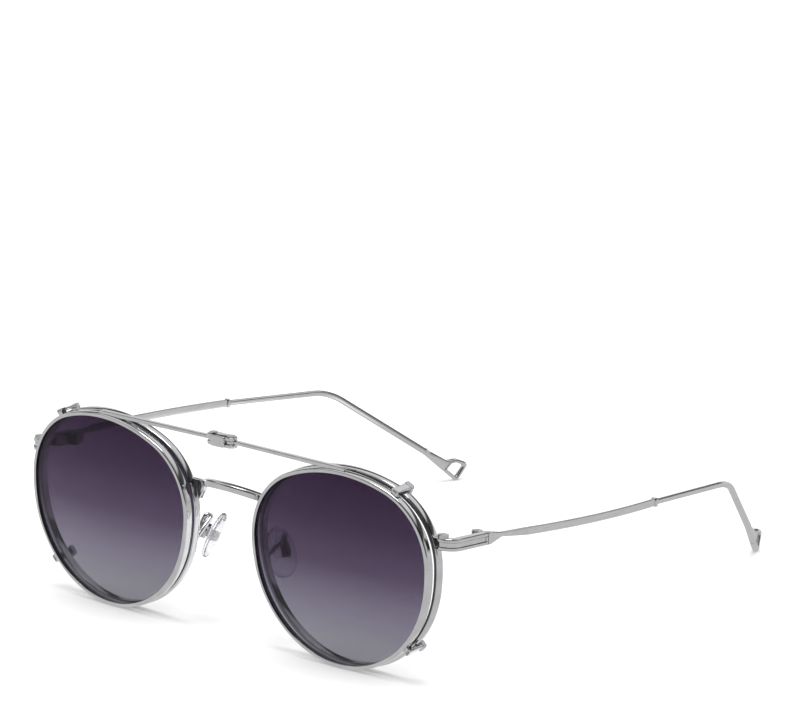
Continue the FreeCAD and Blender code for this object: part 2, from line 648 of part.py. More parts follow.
for name, side in SIDES:
    butt_x = side * (butt_inner_x + dim.endpiece_thickness / 2)
    butt_y = dim.endpiece_end_y + dim.butt_gap
    butt_wire = rectangle(Vector(butt_x, butt_y, dim.endpiece_z), X_AXIS, Z_AXIS, dim.endpiece_thickness,
                          dim.endpiece_height)
    butt = Part.Face(butt_wire).extrude(Vector(0, dim.butt_end_y - butt_y, 0))
    long_edges = [edge for edge in butt.Edges if abs(edge.tangentAt(edge.FirstParameter).y) > 0.5]
    butt = on_slope(butt.makeFillet(dim.endpiece_round, long_edges))
    strip_start = at_drop(side, dim.strip_start_outset, dim.strip_start_y, dim.strip_start_drop)
    strip_middle = at_drop(side, dim.strip_middle_outset, dim.strip_middle_y, dim.strip_middle_drop)
    collar_point = at_drop(side, dim.collar_outset, dim.collar_y, dim.collar_drop)
    neck_point = at_drop(side, -dim.neck_inset, dim.neck_y, dim.neck_drop)
    strip_path = Part.Arc(strip_start, strip_middle, collar_point).toShape()
    heading = strip_path.tangentAt(strip_path.FirstParameter)
    across = heading.cross(Z_AXIS).normalize()
    upright = across.cross(heading)
    strip_wire = rectangle(strip_start, across, upright, dim.strip_thickness, dim.strip_height)
    strip = Part.Wire([strip_path]).makePipeShell([strip_wire], True, False)
    neck_wire = rectangle(neck_point, X_AXIS, Z_AXIS, dim.neck_thickness, dim.neck_height)
    taper_height = dim.endpiece_height - 2 * dim.endpiece_round
    taper_thickness = dim.endpiece_thickness - 2 * dim.endpiece_round
    taper_start = Vector(butt_x, dim.butt_end_y, dim.endpiece_z)
    taper_wire = rectangle(taper_start, X_AXIS, Z_AXIS, taper_thickness, taper_height)
    first_taper = Part.makeLoft([on_slope(taper_wire), neck_wire], True, True)
    second_taper = Part.makeLoft([neck_wire, strip_wire], True, True)
    whole = butt.fuse([first_taper, second_taper, strip])
    solid_feature(name + "_temple_strip", whole)

    bend_point = at_drop(side, -dim.bend_inset, dim.bend_y, dim.bend_drop)
    rod_heading = (bend_point - collar_point).normalize()
    collar = doc.addObject("PartDesign::Body", name + "_temple_collar")
    collar_sketch = polygon_sketch(collar, name + "_collar_section", "XY_Plane", (
        ("-collar_height/2", "-collar_thickness/2"), ("collar_height/2", "-collar_thickness/2"),
        ("collar_height/2", "collar_thickness/2"), ("-collar_height/2", "collar_thickness/2")))
    collar_pad = collar.newObject("PartDesign::Pad", name + "_collar_pad")
    collar_pad.Profile = collar_sketch
    collar_pad.Midplane = True
    bind(collar_pad, Length="collar_length")
    doc.recompute()
    collar_fillet = collar.newObject("PartDesign::Fillet", name + "_collar_fillet")
    collar_fillet.Base = (collar_pad, ["Edge%d" % (n + 1) for n in range(len(collar_pad.Shape.Edges))])
    bind(collar_fillet, Radius="collar_round")
    collar.Placement = place(collar_point, Z_AXIS, rod_heading)
    keep(collar, name + "_temple_collar")

    tip_down = math.radians(dim.tip_slope)
    tip_in = math.radians(dim.tip_turn_in)
    level_way = Vector(-side * math.sin(tip_in), math.cos(tip_in), 0)
    tip_along = level_way * math.cos(tip_down) - Z_AXIS * math.sin(tip_down)
    tip_out = tip_along.cross(Z_AXIS).normalize()
    tip_up = tip_out.cross(tip_along)
    toe = Vector(dim.tip_length, -dim.loop_toe, 0)
    crown = Vector(dim.loop_corner, dim.loop_rise, 0)
    shoulder = Vector(dim.loop_shoulder, dim.loop_shoulder_rise, 0)
    neck = Vector(dim.loop_neck, dim.loop_neck_rise, 0)
    heel = Vector(0, -dim.tip_half_height, 0)
    outer = [heel, toe, crown, shoulder, neck, -heel]
    rounds = [dim.loop_outer_round] * len(outer)
    rounds[0] = rounds[-1] = dim.tip_round
    outer_wire = corner_wire(outer, rounds, True)
    back_u = dim.loop_start - dim.loop_wall
    low_v = -dim.tip_half_height + (toe.y + dim.tip_half_height) * back_u / toe.x
    high_v = neck.y + (shoulder.y - neck.y) * (back_u - neck.x) / (shoulder.x - neck.x)
    around = [Vector(back_u, low_v, 0), toe, crown, shoulder, Vector(back_u, high_v, 0)]
    hole = inset_corners(around, dim.loop_wall)
    hole_wire = corner_wire(hole, (dim.loop_inner_round,) * len(hole), True)
    tip_face = Part.Face([outer_wire, hole_wire], "Part::FaceMakerBullseye")
    tip = tip_face.extrude(Vector(0, 0, dim.tip_thickness))
    flat_edges = [edge for edge in tip.Edges if edge.BoundBox.ZLength < dim.tip_round / 2]
    tip = tip.makeFillet(dim.tip_round, flat_edges)
    tip.translate(Vector(0, 0, -dim.tip_thickness / 2))
    tip_start = Vector(side * (endpiece_outer_x - dim.tip_inset), dim.tip_y, 0)
    turn = Rotation(tip_along, tip_up, tip_along.cross(tip_up), "XYZ")
    lowered = tip.copy()
    lowered.Placement = Placement(tip_start, turn).multiply(lowered.Placement)
    tip_start.z = ground - lowered.optimalBoundingBox(False).ZMin
    tip.Placement = Placement(tip_start, turn).multiply(tip.Placement)
    rod_path = corner_wire([collar_point, bend_point, tip_start], (0, dim.bend_radius, 0), False)
    rod = wire_tube(rod_path, dim.rod_radius)
    solid_feature(name + "_temple_rod", rod)
    solid_feature(name + "_temple_tip", tip)
    loop_middle = sum(hole, Vector()) * (1 / len(hole))
    landmarks[name + "_loop_middle"] = tip_start + tip_along * loop_middle.x + tip_up * loop_middle.y
    landmarks[name + "_loop_axis"] = tip_along.cross(tip_up)

# Nose pads: a soft pad on a metal lug that rocks on a screw in a box, which a bent wire holds to the rim
for name, side in SIDES:
    lean_x = -side * math.tan(math.radians(dim.pad_lean))
    lean_y = math.tan(math.radians(dim.pad_back_lean))
    pad_up = Vector(lean_x, lean_y, 1).normalize()
    flare = math.radians(dim.pad_flare)
    facing = Vector(-side * math.cos(flare), math.sin(flare), 0)
    facing = (facing - pad_up * facing.dot(pad_up)).normalize()
    edge_way = pad_up.cross(facing)
    pad_middle = Vector(side * dim.pad_x, dim.pad_y, dim.pad_z)
    pad_turn = Rotation(facing, edge_way, pad_up, "ZXY")
    pad_frame = Placement(pad_middle, pad_turn)
    box_top = -(dim.pad_half_thickness + dim.box_clearance)
    screw_x = box_top - (dim.box_depth - dim.box_floor) / 2
    pad_blank = primitive("Ellipsoid", name + "_pad_blank", pad_frame, Radius1="pad_half_length",
                          Radius2="pad_half_thickness", Radius3="pad_half_width")
    lug_bottom = box_top - dim.box_depth + dim.box_floor + dim.lug_end_clearance
    lug_corner = Vector(lug_bottom, -dim.lug_width / 2, -dim.lug_height / 2)
    lug_blank = primitive(
        "Box", name + "_lug_blank", pad_frame.multiply(Placement(lug_corner, Rotation())),
        Length="pad_half_thickness + box_clearance + box_depth - box_floor - lug_end_clearance",
        Width="lug_width", Height="lug_height")
    across_pad = Rotation(X_AXIS, -90)
    lug_bore = primitive("Cylinder", name + "_lug_bore",
                         pad_frame.multiply(Placement(Vector(screw_x, -dim.box_width, 0), across_pad)),
                         Radius="pad_screw_radius + running_clearance", Height="2*box_width")
    lug = keep(cut(name + "_pad_lug", lug_blank, lug_bore), name + "_pad_lug")
    keep(cut(name + "_nose_pad", pad_blank, lug), name + "_nose_pad")

    box = doc.addObject("PartDesign::Body", name + "_pad_box")
    inner_half = "(lug_width/2 + lug_clearance)"
    section = polygon_sketch(box, name + "_box_section", "XY_Plane", (
        ("0", "-box_width/2"), ("0", "-" + inner_half), ("box_floor - box_depth", "-" + inner_half),
        ("box_floor - box_depth", inner_half), ("0", inner_half), ("0", "box_width/2"),
        ("-box_depth", "box_width/2"), ("-box_depth", "-box_width/2")))
    box_pad = box.newObject("PartDesign::Pad", name + "_box_pad")
    box_pad.Profile = section
    box_pad.Midplane = True
    bind(box_pad, Length="box_height")
    doc.recompute()
    bore_sketch = circle_sketch(box, name + "_box_bore_ring", "XZ_Plane", "(box_floor - box_depth)/2",
                                "0", "pad_screw_radius + running_clearance")
    box_bore = box.newObject("PartDesign::Pocket", name + "_box_bore")
    box_bore.Profile = bore_sketch
    box_bore.Midplane = True
    bind(box_bore, Length="2*box_width")
    doc.recompute()
    box.Placement = pad_frame.multiply(Placement(Vector(box_top, 0, 0), Rotation()))
    keep(box, name + "_pad_box")
    screw_seat = Placement(Vector(screw_x, -dim.box_width / 2, 0), Rotation(X_AXIS, 90))
    turned_pin(name + "_pad_screw", pad_frame.multiply(screw_seat), "pad_screw_radius", "box_width",
               "pad_screw_head_radius", "pad_screw_head_height", True)
    landmarks[name + "_pad_axis_point"] = pad_frame.multVec(Vector(screw_x, 0, 0))
    landmarks[name + "_pad_axis"] = edge_way

    arm_depth = box_top - dim.box_depth - dim.arm_radius + dim.solder_depth
    box_back = pad_frame.multVec(Vector(arm_depth, 0, 0))
    arm_low = box_back - pad_up * (dim.box_height / 2)
    arm_high = box_back + pad_up * dim.box_height
    arm_spot = dim.frame_rim_width - dim.arm_radius
    root, outward = outline_point(side, dim.arm_root_angle, arm_spot, -1)
    rim_back = sag(math.hypot(root.x, root.z)) + frame_back
    rim_side = lens_place(side, frame_lens_x).multVec(Vector(root.x, rim_back - dim.solder_depth, root.z))
    arm_crest = Vector(rim_side.x + side * dim.arm_crest_outset, dim.arm_crest_y, dim.arm_crest_z)
    arm_path = corner_wire([rim_side, arm_crest, arm_high, arm_low],
                           (0, dim.arm_crest_bend, dim.arm_foot_bend, 0), False)
    solid_feature(name + "_pad_arm", wire_tube(arm_path, dim.arm_radius))

# Fold block of the clip: round ended, slotted from both ends, with a plate across its front
top_centre = (dim.outline_top - dim.top_radius) * math.cos(math.radians(dim.outline_lean))
rim_top_local = top_centre + dim.top_radius + dim.clip_rim_width
rim_top_y = sag(rim_top_local) + dim.clip_rim_depth / 2
tilt = math.radians(dim.front_tilt)
rim_top_z = rim_top_local * math.cos(tilt) + rim_top_y * math.sin(tilt)
bar_z = rim_top_z + dim.bar_tip_height / 2 - dim.bar_seat
block_low = bar_z - dim.block_height / 2
block_front = dim.fold_pin_y - dim.block_end_radius


def standing(x, y, z):
    """Placement at a point, not turned."""
    return Placement(Vector(x, y, z), Rotation())


pieces = [primitive("Box", "block_middle", standing(-dim.fold_pin_x, block_front, block_low),
                    Length="2*fold_pin_x", Width="2*block_end_radius", Height="block_height")]
plate_front = block_front - dim.plate_thickness
plate_box = primitive("Box", "block_plate_blank", standing(-dim.plate_half_width, plate_front, block_low),
                      Length="2*plate_half_width", Width="plate_thickness", Height="block_height")
doc.recompute()
plate_round = doc.addObject("Part::Fillet", "block_plate")
plate_round.Base = plate_box
plate_edges = enumerate(plate_box.Shape.Edges, start=1)
plate_round.Edges = [(number, dim.plate_round, dim.plate_round) for number, edge in plate_edges
                     if edge.BoundBox.YLength > dim.plate_thickness / 2]
pieces.append(plate_round)
voids = []
slot_half = dim.bar_height / 2 + dim.slot_clearance
for name, side in SIDES:
    pin_x = side * dim.fold_pin_x
    pieces.append(primitive("Cylinder", name + "_block_end", standing(pin_x, dim.fold_pin_y, block_low),
                            Radius="block_end_radius", Height="block_height"))
    slot_length = dim.eyelet_radius + dim.eyelet_clearance + dim.block_end_radius + dim.cut_overrun
    slot_inner = dim.fold_pin_x - dim.eyelet_radius - dim.eyelet_clearance
    slot_left = slot_inner if side > 0 else -(slot_inner + slot_length)
    voids.append(primitive("Box", name + "_block_slot", standing(slot_left, block_front, bar_z - slot_half),
                           Length="eyelet_radius + eyelet_clearance + block_end_radius + cut_overrun",
                           Width="2*block_end_radius + cut_overrun",
                           Height="bar_height + 2*slot_clearance"))
    voids.append(primitive("Cylinder", name + "_block_bore",
                           standing(pin_x, dim.fold_pin_y, block_low - dim.cut_overrun),
                           Radius="pin_radius", Height="block_height + 2*cut_overrun"))
    turned_pin(name + "_fold_pin", standing(pin_x, dim.fold_pin_y, block_low + dim.block_height),
               "pin_radius", "block_height", "pin_head_radius", "pin_head_height", False)
    landmarks[name + "_fold_point"] = Vector(pin_x, dim.fold_pin_y, bar_z)
keep(cut("fold_block", joined("block_blank", pieces), joined("block_voids", voids)), "fold_block")

# Brow bars: an eyelet on the pin, a low bar through the slot, taller toward its tip on the clip rim
for name, side in SIDES:
    eye_low = Vector(side * dim.fold_pin_x, dim.fold_pin_y, bar_z - dim.bar_height / 2)
    eye = Part.makeCylinder(dim.eyelet_radius, dim.bar_height, eye_low)
    bore = Part.makeCylinder(dim.pin_radius + dim.running_clearance, dim.bar_height + 2 * dim.cut_overrun,
                             eye_low - Z_AXIS * dim.cut_overrun)
    bar_root_y = dim.fold_pin_y - dim.bar_lead + dim.bar_depth / 2
    slope = (dim.bar_tip_y - bar_root_y) / (bar_tip_x - dim.fold_pin_x)
    stations = ((dim.fold_pin_x, dim.bar_height), (dim.bar_swell_x, dim.bar_height),
                (bar_tip_x, dim.bar_tip_height))
    sections = []
    for x, height in stations:
        middle = Vector(side * x, bar_root_y + slope * (x - dim.fold_pin_x), bar_z)
        sections.append(rectangle(middle, Y_AXIS, Z_AXIS, dim.bar_depth, height))
    bar = Part.makeLoft(sections, True, True)
    tip_edges = [edge for edge in bar.Edges
                 if abs(edge.CenterOfMass.x * side - bar_tip_x) < dim.bar_tip_round / 2]
    bar = bar.makeFillet(dim.bar_tip_round, tip_edges)
    solid_feature(name + "_brow_bar", bar.fuse(eye).cut(bore).removeSplitter())

# Claws: strips soldered outside the clip rims that reach back over the frame rims and hook behind them
def strip_across(edge_point, outward, profile, width):
    """Solid of a profile, given as (outward, back) from a rim edge, with its width along the rim."""
    along = outward.cross(Y_AXIS)
    start = edge_point - along * (width / 2)
    points = [start + outward * out + Y_AXIS * back for out, back in profile]
    return Part.Face(Part.makePolygon(points + points[:1])).extrude(along * width)


for name, side in SIDES:
    for which, direction in (("upper", dim.upper_claw_angle), ("lower", dim.lower_claw_angle)):
        edge_point, outward = outline_point(side, direction, dim.clip_rim_width)
        fall = sag(math.hypot(edge_point.x, edge_point.z))
        start = fall + dim.claw_setback
        seat = fall + dim.clip_rim_depth
        hook_front = fall + frame_back + dim.claw_clearance + dim.sleeve_wall
        hook_back = hook_front + dim.claw_thickness
        inside = dim.claw_standoff
        outside = inside + dim.claw_thickness
        profile = (
            (-dim.solder_depth, start), (outside, start), (outside, hook_back),
            (-dim.hook_reach, hook_back), (-dim.hook_reach, hook_front),
            (inside, hook_front), (inside, seat), (-dim.solder_depth, seat))
        claw = strip_across(edge_point, outward, profile, dim.claw_width)
        sleeve_in = -dim.hook_reach - dim.sleeve_wall
        sleeve_out = outside + dim.sleeve_wall
        sleeve_front = hook_front - dim.sleeve_wall
        sleeve_back = hook_back + dim.sleeve_wall
        sleeve_ends = ((sleeve_in, sleeve_front), (sleeve_out, sleeve_front),
                       (sleeve_out, sleeve_back), (sleeve_in, sleeve_back))
        sleeve = strip_across(edge_point, outward, sleeve_ends, dim.claw_width + 2 * dim.sleeve_wall)
        sleeve = sleeve.makeFillet(dim.sleeve_round, sleeve.Edges).cut(claw)
        spot = lens_place(side, clip_lens_x)
        solid_feature("%s_%s_claw" % (name, which), claw, spot)
        solid_feature("%s_%s_sleeve" % (name, which), sleeve, spot)

# Move everything so that the origin is the middle of the bottom
doc.recompute()
failed = [item.Name for item in doc.Objects if "Invalid" in item.State or "Error" in item.State]
broken = [item.Label for item in subparts if item.Shape.isNull() or not item.Shape.isValid()
          or len(item.Shape.Solids) != 1 or item.Shape.Volume <= 0]
if failed or broken:
    raise RuntimeError("failed: %s, broken: %s" % (failed, broken))
whole = FreeCAD.BoundBox()
for item in subparts:
    whole.add(item.Shape.optimalBoundingBox(False))
shift = Vector(-whole.Center.x, -whole.Center.y, -whole.ZMin)
os.makedirs("parts", exist_ok=True)
for item in subparts:
    moved = item.Shape.copy()
    moved.translate(shift)
    moved.exportStep("parts/%s.step" % item.Label)
print("pieces", len(subparts), "box", whole.XLength, whole.YLength, whole.ZLength, "shift", shift)
for title, spot in landmarks.items():
    at = spot if title.endswith("_axis") else spot + shift
    print(title, round(at.x, 4), round(at.y, 4), round(at.z, 4))
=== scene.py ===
import logging
import math
from dataclasses import dataclass
from enum import Enum
from typing import Any, Callable, ClassVar

import bmesh
import bpy
import numpy as np
from mathutils import Matrix


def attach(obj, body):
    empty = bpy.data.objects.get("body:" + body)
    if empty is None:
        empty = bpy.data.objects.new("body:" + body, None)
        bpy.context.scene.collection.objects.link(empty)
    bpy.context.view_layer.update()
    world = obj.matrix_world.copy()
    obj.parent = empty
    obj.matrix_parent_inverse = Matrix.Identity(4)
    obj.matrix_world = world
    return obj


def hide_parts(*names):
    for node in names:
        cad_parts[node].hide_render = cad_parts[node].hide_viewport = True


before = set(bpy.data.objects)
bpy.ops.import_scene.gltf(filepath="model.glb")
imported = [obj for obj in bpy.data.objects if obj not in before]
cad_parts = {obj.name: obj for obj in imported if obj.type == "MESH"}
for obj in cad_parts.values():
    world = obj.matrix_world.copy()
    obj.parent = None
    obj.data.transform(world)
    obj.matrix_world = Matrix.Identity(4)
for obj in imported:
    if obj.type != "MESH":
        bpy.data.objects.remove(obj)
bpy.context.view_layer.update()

log = logging.getLogger("glasses")
Array = np.ndarray
Pair = tuple[float, float]
Triple = tuple[float, float, float]

MM = 0.001
# From the middle of the lenses' height, at the clip's front, to the origin of the part
SHIFT = np.array([0.0, -77.91214, 24.95102])
X_AXIS, Y_AXIS, Z_AXIS = np.eye(3)
# Corners of a square about zero, counter-clockwise
CORNERS = np.array([[1.0, 1.0], [-1.0, 1.0], [-1.0, -1.0], [1.0, -1.0]])
# Points nearer than this, in metres, are joined
WELD = 1e-7
# Depth of the fine relief in the finishes, in metres
RELIEF = 0.00005
# Where on a cloud of noise, from 0 to 1, a finish has its darker and its lighter colour
DARK_AT, LIGHT_AT = 0.3, 0.7
# Parts of the rounded edge of a plate or band
EDGE_STEPS = 3


class Side(Enum):
    """Viewer's side of the glasses, with the sign of its X."""

    LEFT = -1
    RIGHT = 1

    @property
    def tag(self) -> str:
        """Name used in front of the pieces of this side."""
        return self.name.lower()


# Arrays of points


def unit(vectors: Array) -> Array:
    """Vectors divided by their lengths, along the last axis."""
    return vectors / np.linalg.norm(vectors, axis=-1, keepdims=True)


def packed(*parts: Any) -> Array:
    """Values side by side along a new last axis, each first spread to the shape that they share."""
    return np.stack(np.broadcast_arrays(*parts), axis=-1)


def polar(degrees: Array | float) -> Array:
    """Unit vectors (x, z) at angles up from +X."""
    turns = np.radians(degrees)
    return packed(np.cos(turns), np.sin(turns))


def turned(points: Array, degrees: float, first: int, second: int) -> Array:
    """Points turned about zero from one of their axes toward another.

    Their coordinates become first cos a - second sin a, and first sin a + second cos a.

    Args:
        points: points or directions.
        degrees: the angle a.
        first: axis that is turned.
        second: axis that it is turned toward.

    Returns:
        The turned points.
    """
    cosine, sine = polar(degrees)
    made = points.copy()
    made[..., first] = points[..., first] * cosine - points[..., second] * sine
    made[..., second] = points[..., first] * sine + points[..., second] * cosine
    return made


@dataclass
class Shell:
    """One closed skin: its points, its four-sided faces and the faces that close its ends.

    Shade, if given, says for each point how strongly painted shade darkens its metal.
    """

    points: Array
    quads: Array
    caps: list[Array]
    shade: Array | None = None

    def moved(self, points: Array) -> "Shell":
        """The same faces on other points."""
        return Shell(points, self.quads, self.caps)


def skin(rings: Array, endless: bool = False, shade: Array | None = None) -> Shell:
    """Closed skin over rings of points.

    The grid has one row for each ring and one column for each place round it. Every face joins
    neighbours of two neighbouring rings, and columns wrap round. An endless skin wraps its rows too,
    and any other has its first and last ring closed by a face.

    Args:
        rings: points as [ring, place, xyz].
        endless: whether the last ring meets the first.
        shade: how strongly painted shade darkens the metal at each place of a ring.

    Returns:
        The skin.
    """
    rows, columns = rings.shape[:2]
    index = np.arange(rows * columns).reshape(rows, columns)
    beside = np.roll(index, -1, axis=1)
    quads = packed(index, beside, np.roll(beside, -1, axis=0), np.roll(index, -1, axis=0))
    if not endless:
        quads = quads[:-1]
    caps = [] if endless else [index[0][::-1], index[-1]]
    tiled = None if shade is None else np.tile(shade, rows)
    return Shell(rings.reshape(-1, 3), quads.reshape(-1, 4), caps, tiled)


def rounded_section(width: Array | float, height: Array | float, radius: Array | float,
                    steps: int = 4) -> Array:
    """Rounded rectangles about zero.

    Each corner is a quarter circle about a point that lies one radius in from both sides.

    Args:
        width: whole size across, one for each section or a single one.
        height: whole size upright.
        radius: corner radius.
        steps: parts of a quarter circle.

    Returns:
        Points as [section, place, 2].
    """
    width, height, radius = np.broadcast_arrays(*np.atleast_1d(width, height, radius))
    quarter = np.linspace(0.0, 90.0, steps + 1)
    angles = np.concatenate([quarter + 90.0 * n for n in range(4)])
    half = packed(width, height)[:, None] / 2 - radius[:, None, None]
    return half * np.repeat(CORNERS, steps + 1, axis=0) + radius[:, None, None] * polar(angles)


def carried(path: Array, sections: Array, first: Array, second: Array) -> Array:
    """Rings of a profile carried along a path, given the directions of its two axes there."""
    return path[:, None] + sections[..., :1] * first[:, None] + sections[..., 1:] * second[:, None]


def swept(path: Array, up: Array, sections: Array) -> Shell:
    """Skin of a profile carried along a path.

    The profile's first axis lies along heading x up, and its second is square to that and to the heading.

    Args:
        path: points as [station, xyz].
        up: upward direction.
        sections: profile as [station or 1, place, 2].

    Returns:
        The skin.
    """
    heading = unit(np.gradient(path, axis=0))
    across = unit(np.cross(heading, up))
    return skin(carried(path, sections, across, np.cross(across, heading)))


def circle(radius: float, places: int = 40) -> Array:
    """Counter-clockwise circle about zero, as [place, 2]."""
    return radius * polar(np.linspace(0.0, 360.0, places, endpoint=False))


def round_wire(path: Array, radius: Array | float, places: int = 20) -> Shell:
    """Skin of a round wire: a circle carried along a path.

    Args:
        path: points as [station, xyz].
        radius: one radius, or one for each station.
        places: points of the circle.

    Returns:
        The skin.
    """
    most_along = 0.7
    up = Y_AXIS if abs(unit(path[1] - path[0])[1]) < most_along else Z_AXIS
    return swept(path, up, np.reshape(radius, (-1, 1, 1)) * circle(1.0, places))


def bent_path(corners: list[Array], radii: list[float], step: float, arc_steps: int) -> Array:
    """Straight runs between corners, with a tangent arc in each corner.

    An arc of radius r in a corner whose half angle is h starts r / tan h from the corner, and its
    middle is r / sin h from it on the line that halves the corner.

    Args:
        corners: corner points in order.
        radii: arc radius for each corner but the first and last.
        step: length of a part of a straight run.
        arc_steps: parts of an arc.

    Returns:
        Points as [station, xyz].
    """
    stops = [corners[0][None]]
    for before, corner, after, radius in zip(corners, corners[1:], corners[2:], radii):
        back, ahead = unit(before - corner), unit(after - corner)
        half = math.acos(float(np.clip(back @ ahead, -1.0, 1.0))) / 2
        middle = corner + unit(back + ahead) * (radius / math.sin(half))
        first = corner + back * (radius / math.tan(half)) - middle
        heading = unit(corner - (middle + first))
        turns = np.linspace(0.0, math.pi - 2 * half, arc_steps + 1)[:, None]
        stops.append(middle + first * np.cos(turns) + heading * radius * np.sin(turns))
    stops.append(corners[-1][None])
    runs = [stops[0]]
    for stop in stops[1:]:
        start, end = runs[-1][-1], stop[0]
        parts = max(2, int(np.linalg.norm(end - start) / step))
        runs += [start + (end - start) * np.linspace(0.0, 1.0, parts + 1)[1:, None], stop[1:]]
    return np.concatenate(runs)


def rounded_polygon(corners: Array, radii: Any, steps: int = 6) -> Array:
    """Outline of a convex polygon, counter-clockwise, each corner an arc.

    The arc in a corner is found as in bent_path, and turns from the normal of one side to the next.

    Args:
        corners: corner points as [corner, 2].
        radii: arc radius, one or one for each corner.
        steps: parts of an arc.

    Returns:
        Points as [place, 2].
    """
    radii = np.broadcast_to(radii, len(corners))
    before = unit(np.roll(corners, 1, axis=0) - corners)
    after = unit(np.roll(corners, -1, axis=0) - corners)
    half = np.arccos(np.clip(np.sum(before * after, axis=1), -1.0, 1.0)) / 2
    middle = corners + unit(before + after) * (radii / np.sin(half))[:, None]
    start = np.arctan2(before[:, 0], -before[:, 1])
    turn = (math.pi - 2 * half)[:, None] * np.linspace(0.0, 1.0, steps + 1)
    angles = np.degrees(start[:, None] + turn)
    return (middle[:, None] + radii[:, None, None] * polar(angles)).reshape(-1, 2)


def plate(outline: Array, low: float, high: float, edge: float) -> Array:
    """Rings of a flat plate with rounded edges.

    A ring at an angle a up the edge is the outline moved in along its normals by edge (1 - sin a),
    and it lies edge (1 - cos a) from the face.

    Args:
        outline: counter-clockwise outline as [place, 2].
        low: level of the lower face.
        high: level of the upper face.
        edge: edge radius.

    Returns:
        Rings as [ring, place, 3], the third value being the level.
    """
    along = np.roll(outline, -1, axis=0) - np.roll(outline, 1, axis=0)
    normal = unit(packed(along[:, 1], -along[:, 0]))
    angles = np.linspace(0.0, math.pi / 2, EDGE_STEPS + 1)
    inset, rise = edge * (1 - np.sin(angles)), edge * (1 - np.cos(angles))
    inset = np.concatenate([inset, inset[::-1]])[:, None, None]
    level = np.concatenate([low + rise, (high - rise)[::-1]])[:, None]
    flat = outline - normal * inset
    return packed(flat[..., 0], flat[..., 1], level)


def band(inner: Array, outer: Array, thickness: float, edge: float) -> Array:
    """Rings of a flat closed band about level zero, between two outlines that match place by place.

    Its section is a rounded rectangle: its first axis goes from the inner to the outer outline and
    its second is the thickness.

    Args:
        inner: inner outline as [place, 2].
        outer: outer outline as [place, 2].
        thickness: from the lower to the upper face.
        edge: edge radius.

    Returns:
        Rings as [place, point of the section, 3].
    """
    wall = np.linalg.norm(outer - inner, axis=1)
    section = rounded_section(wall, thickness, edge, EDGE_STEPS)
    share = section[..., :1] / wall[:, None, None] + 0.5
    flat = inner[:, None] + (outer - inner)[:, None] * share
    return packed(flat[..., 0], flat[..., 1], section[..., 1])


@dataclass(frozen=True)
class Spot:
    """A place with its own axes."""

    origin: Array
    x: Array
    y: Array
    z: Array

    def out(self, points: Array) -> Array:
        """Points given along the own axes, in the common frame."""
        return self.origin + points @ np.stack([self.x, self.y, self.z])


# Shader expressions


def operation(name: str, swapped: bool = False) -> Callable[["Wire", Any], "Wire"]:
    """Method that puts a wire and another value into a Math node.

    Args:
        name: the node's operation.
        swapped: whether the other value comes first.

    Returns:
        The method.
    """
    def method(wire: "Wire", other: Any) -> "Wire":
        """Result of the operation."""
        values = (other, wire) if swapped else (wire, other)
        return wire.board.node("ShaderNodeMath", {"operation": name}, dict(enumerate(values)))
    return method


@dataclass(frozen=True)
class Wire:
    """A node's output that can be used in sums; each sum adds a Math node."""

    board: "Board"
    socket: bpy.types.NodeSocket | None

    __add__ = __radd__ = operation("ADD")
    __sub__ = operation("SUBTRACT")
    __rsub__ = operation("SUBTRACT", True)
    __mul__ = __rmul__ = operation("MULTIPLY")
    __truediv__ = operation("DIVIDE")
    most = operation("MAXIMUM")
    least = operation("MINIMUM")

    def clamped(self) -> "Wire":
        """This, kept from 0 to 1."""
        return self.most(0.0).least(1.0)


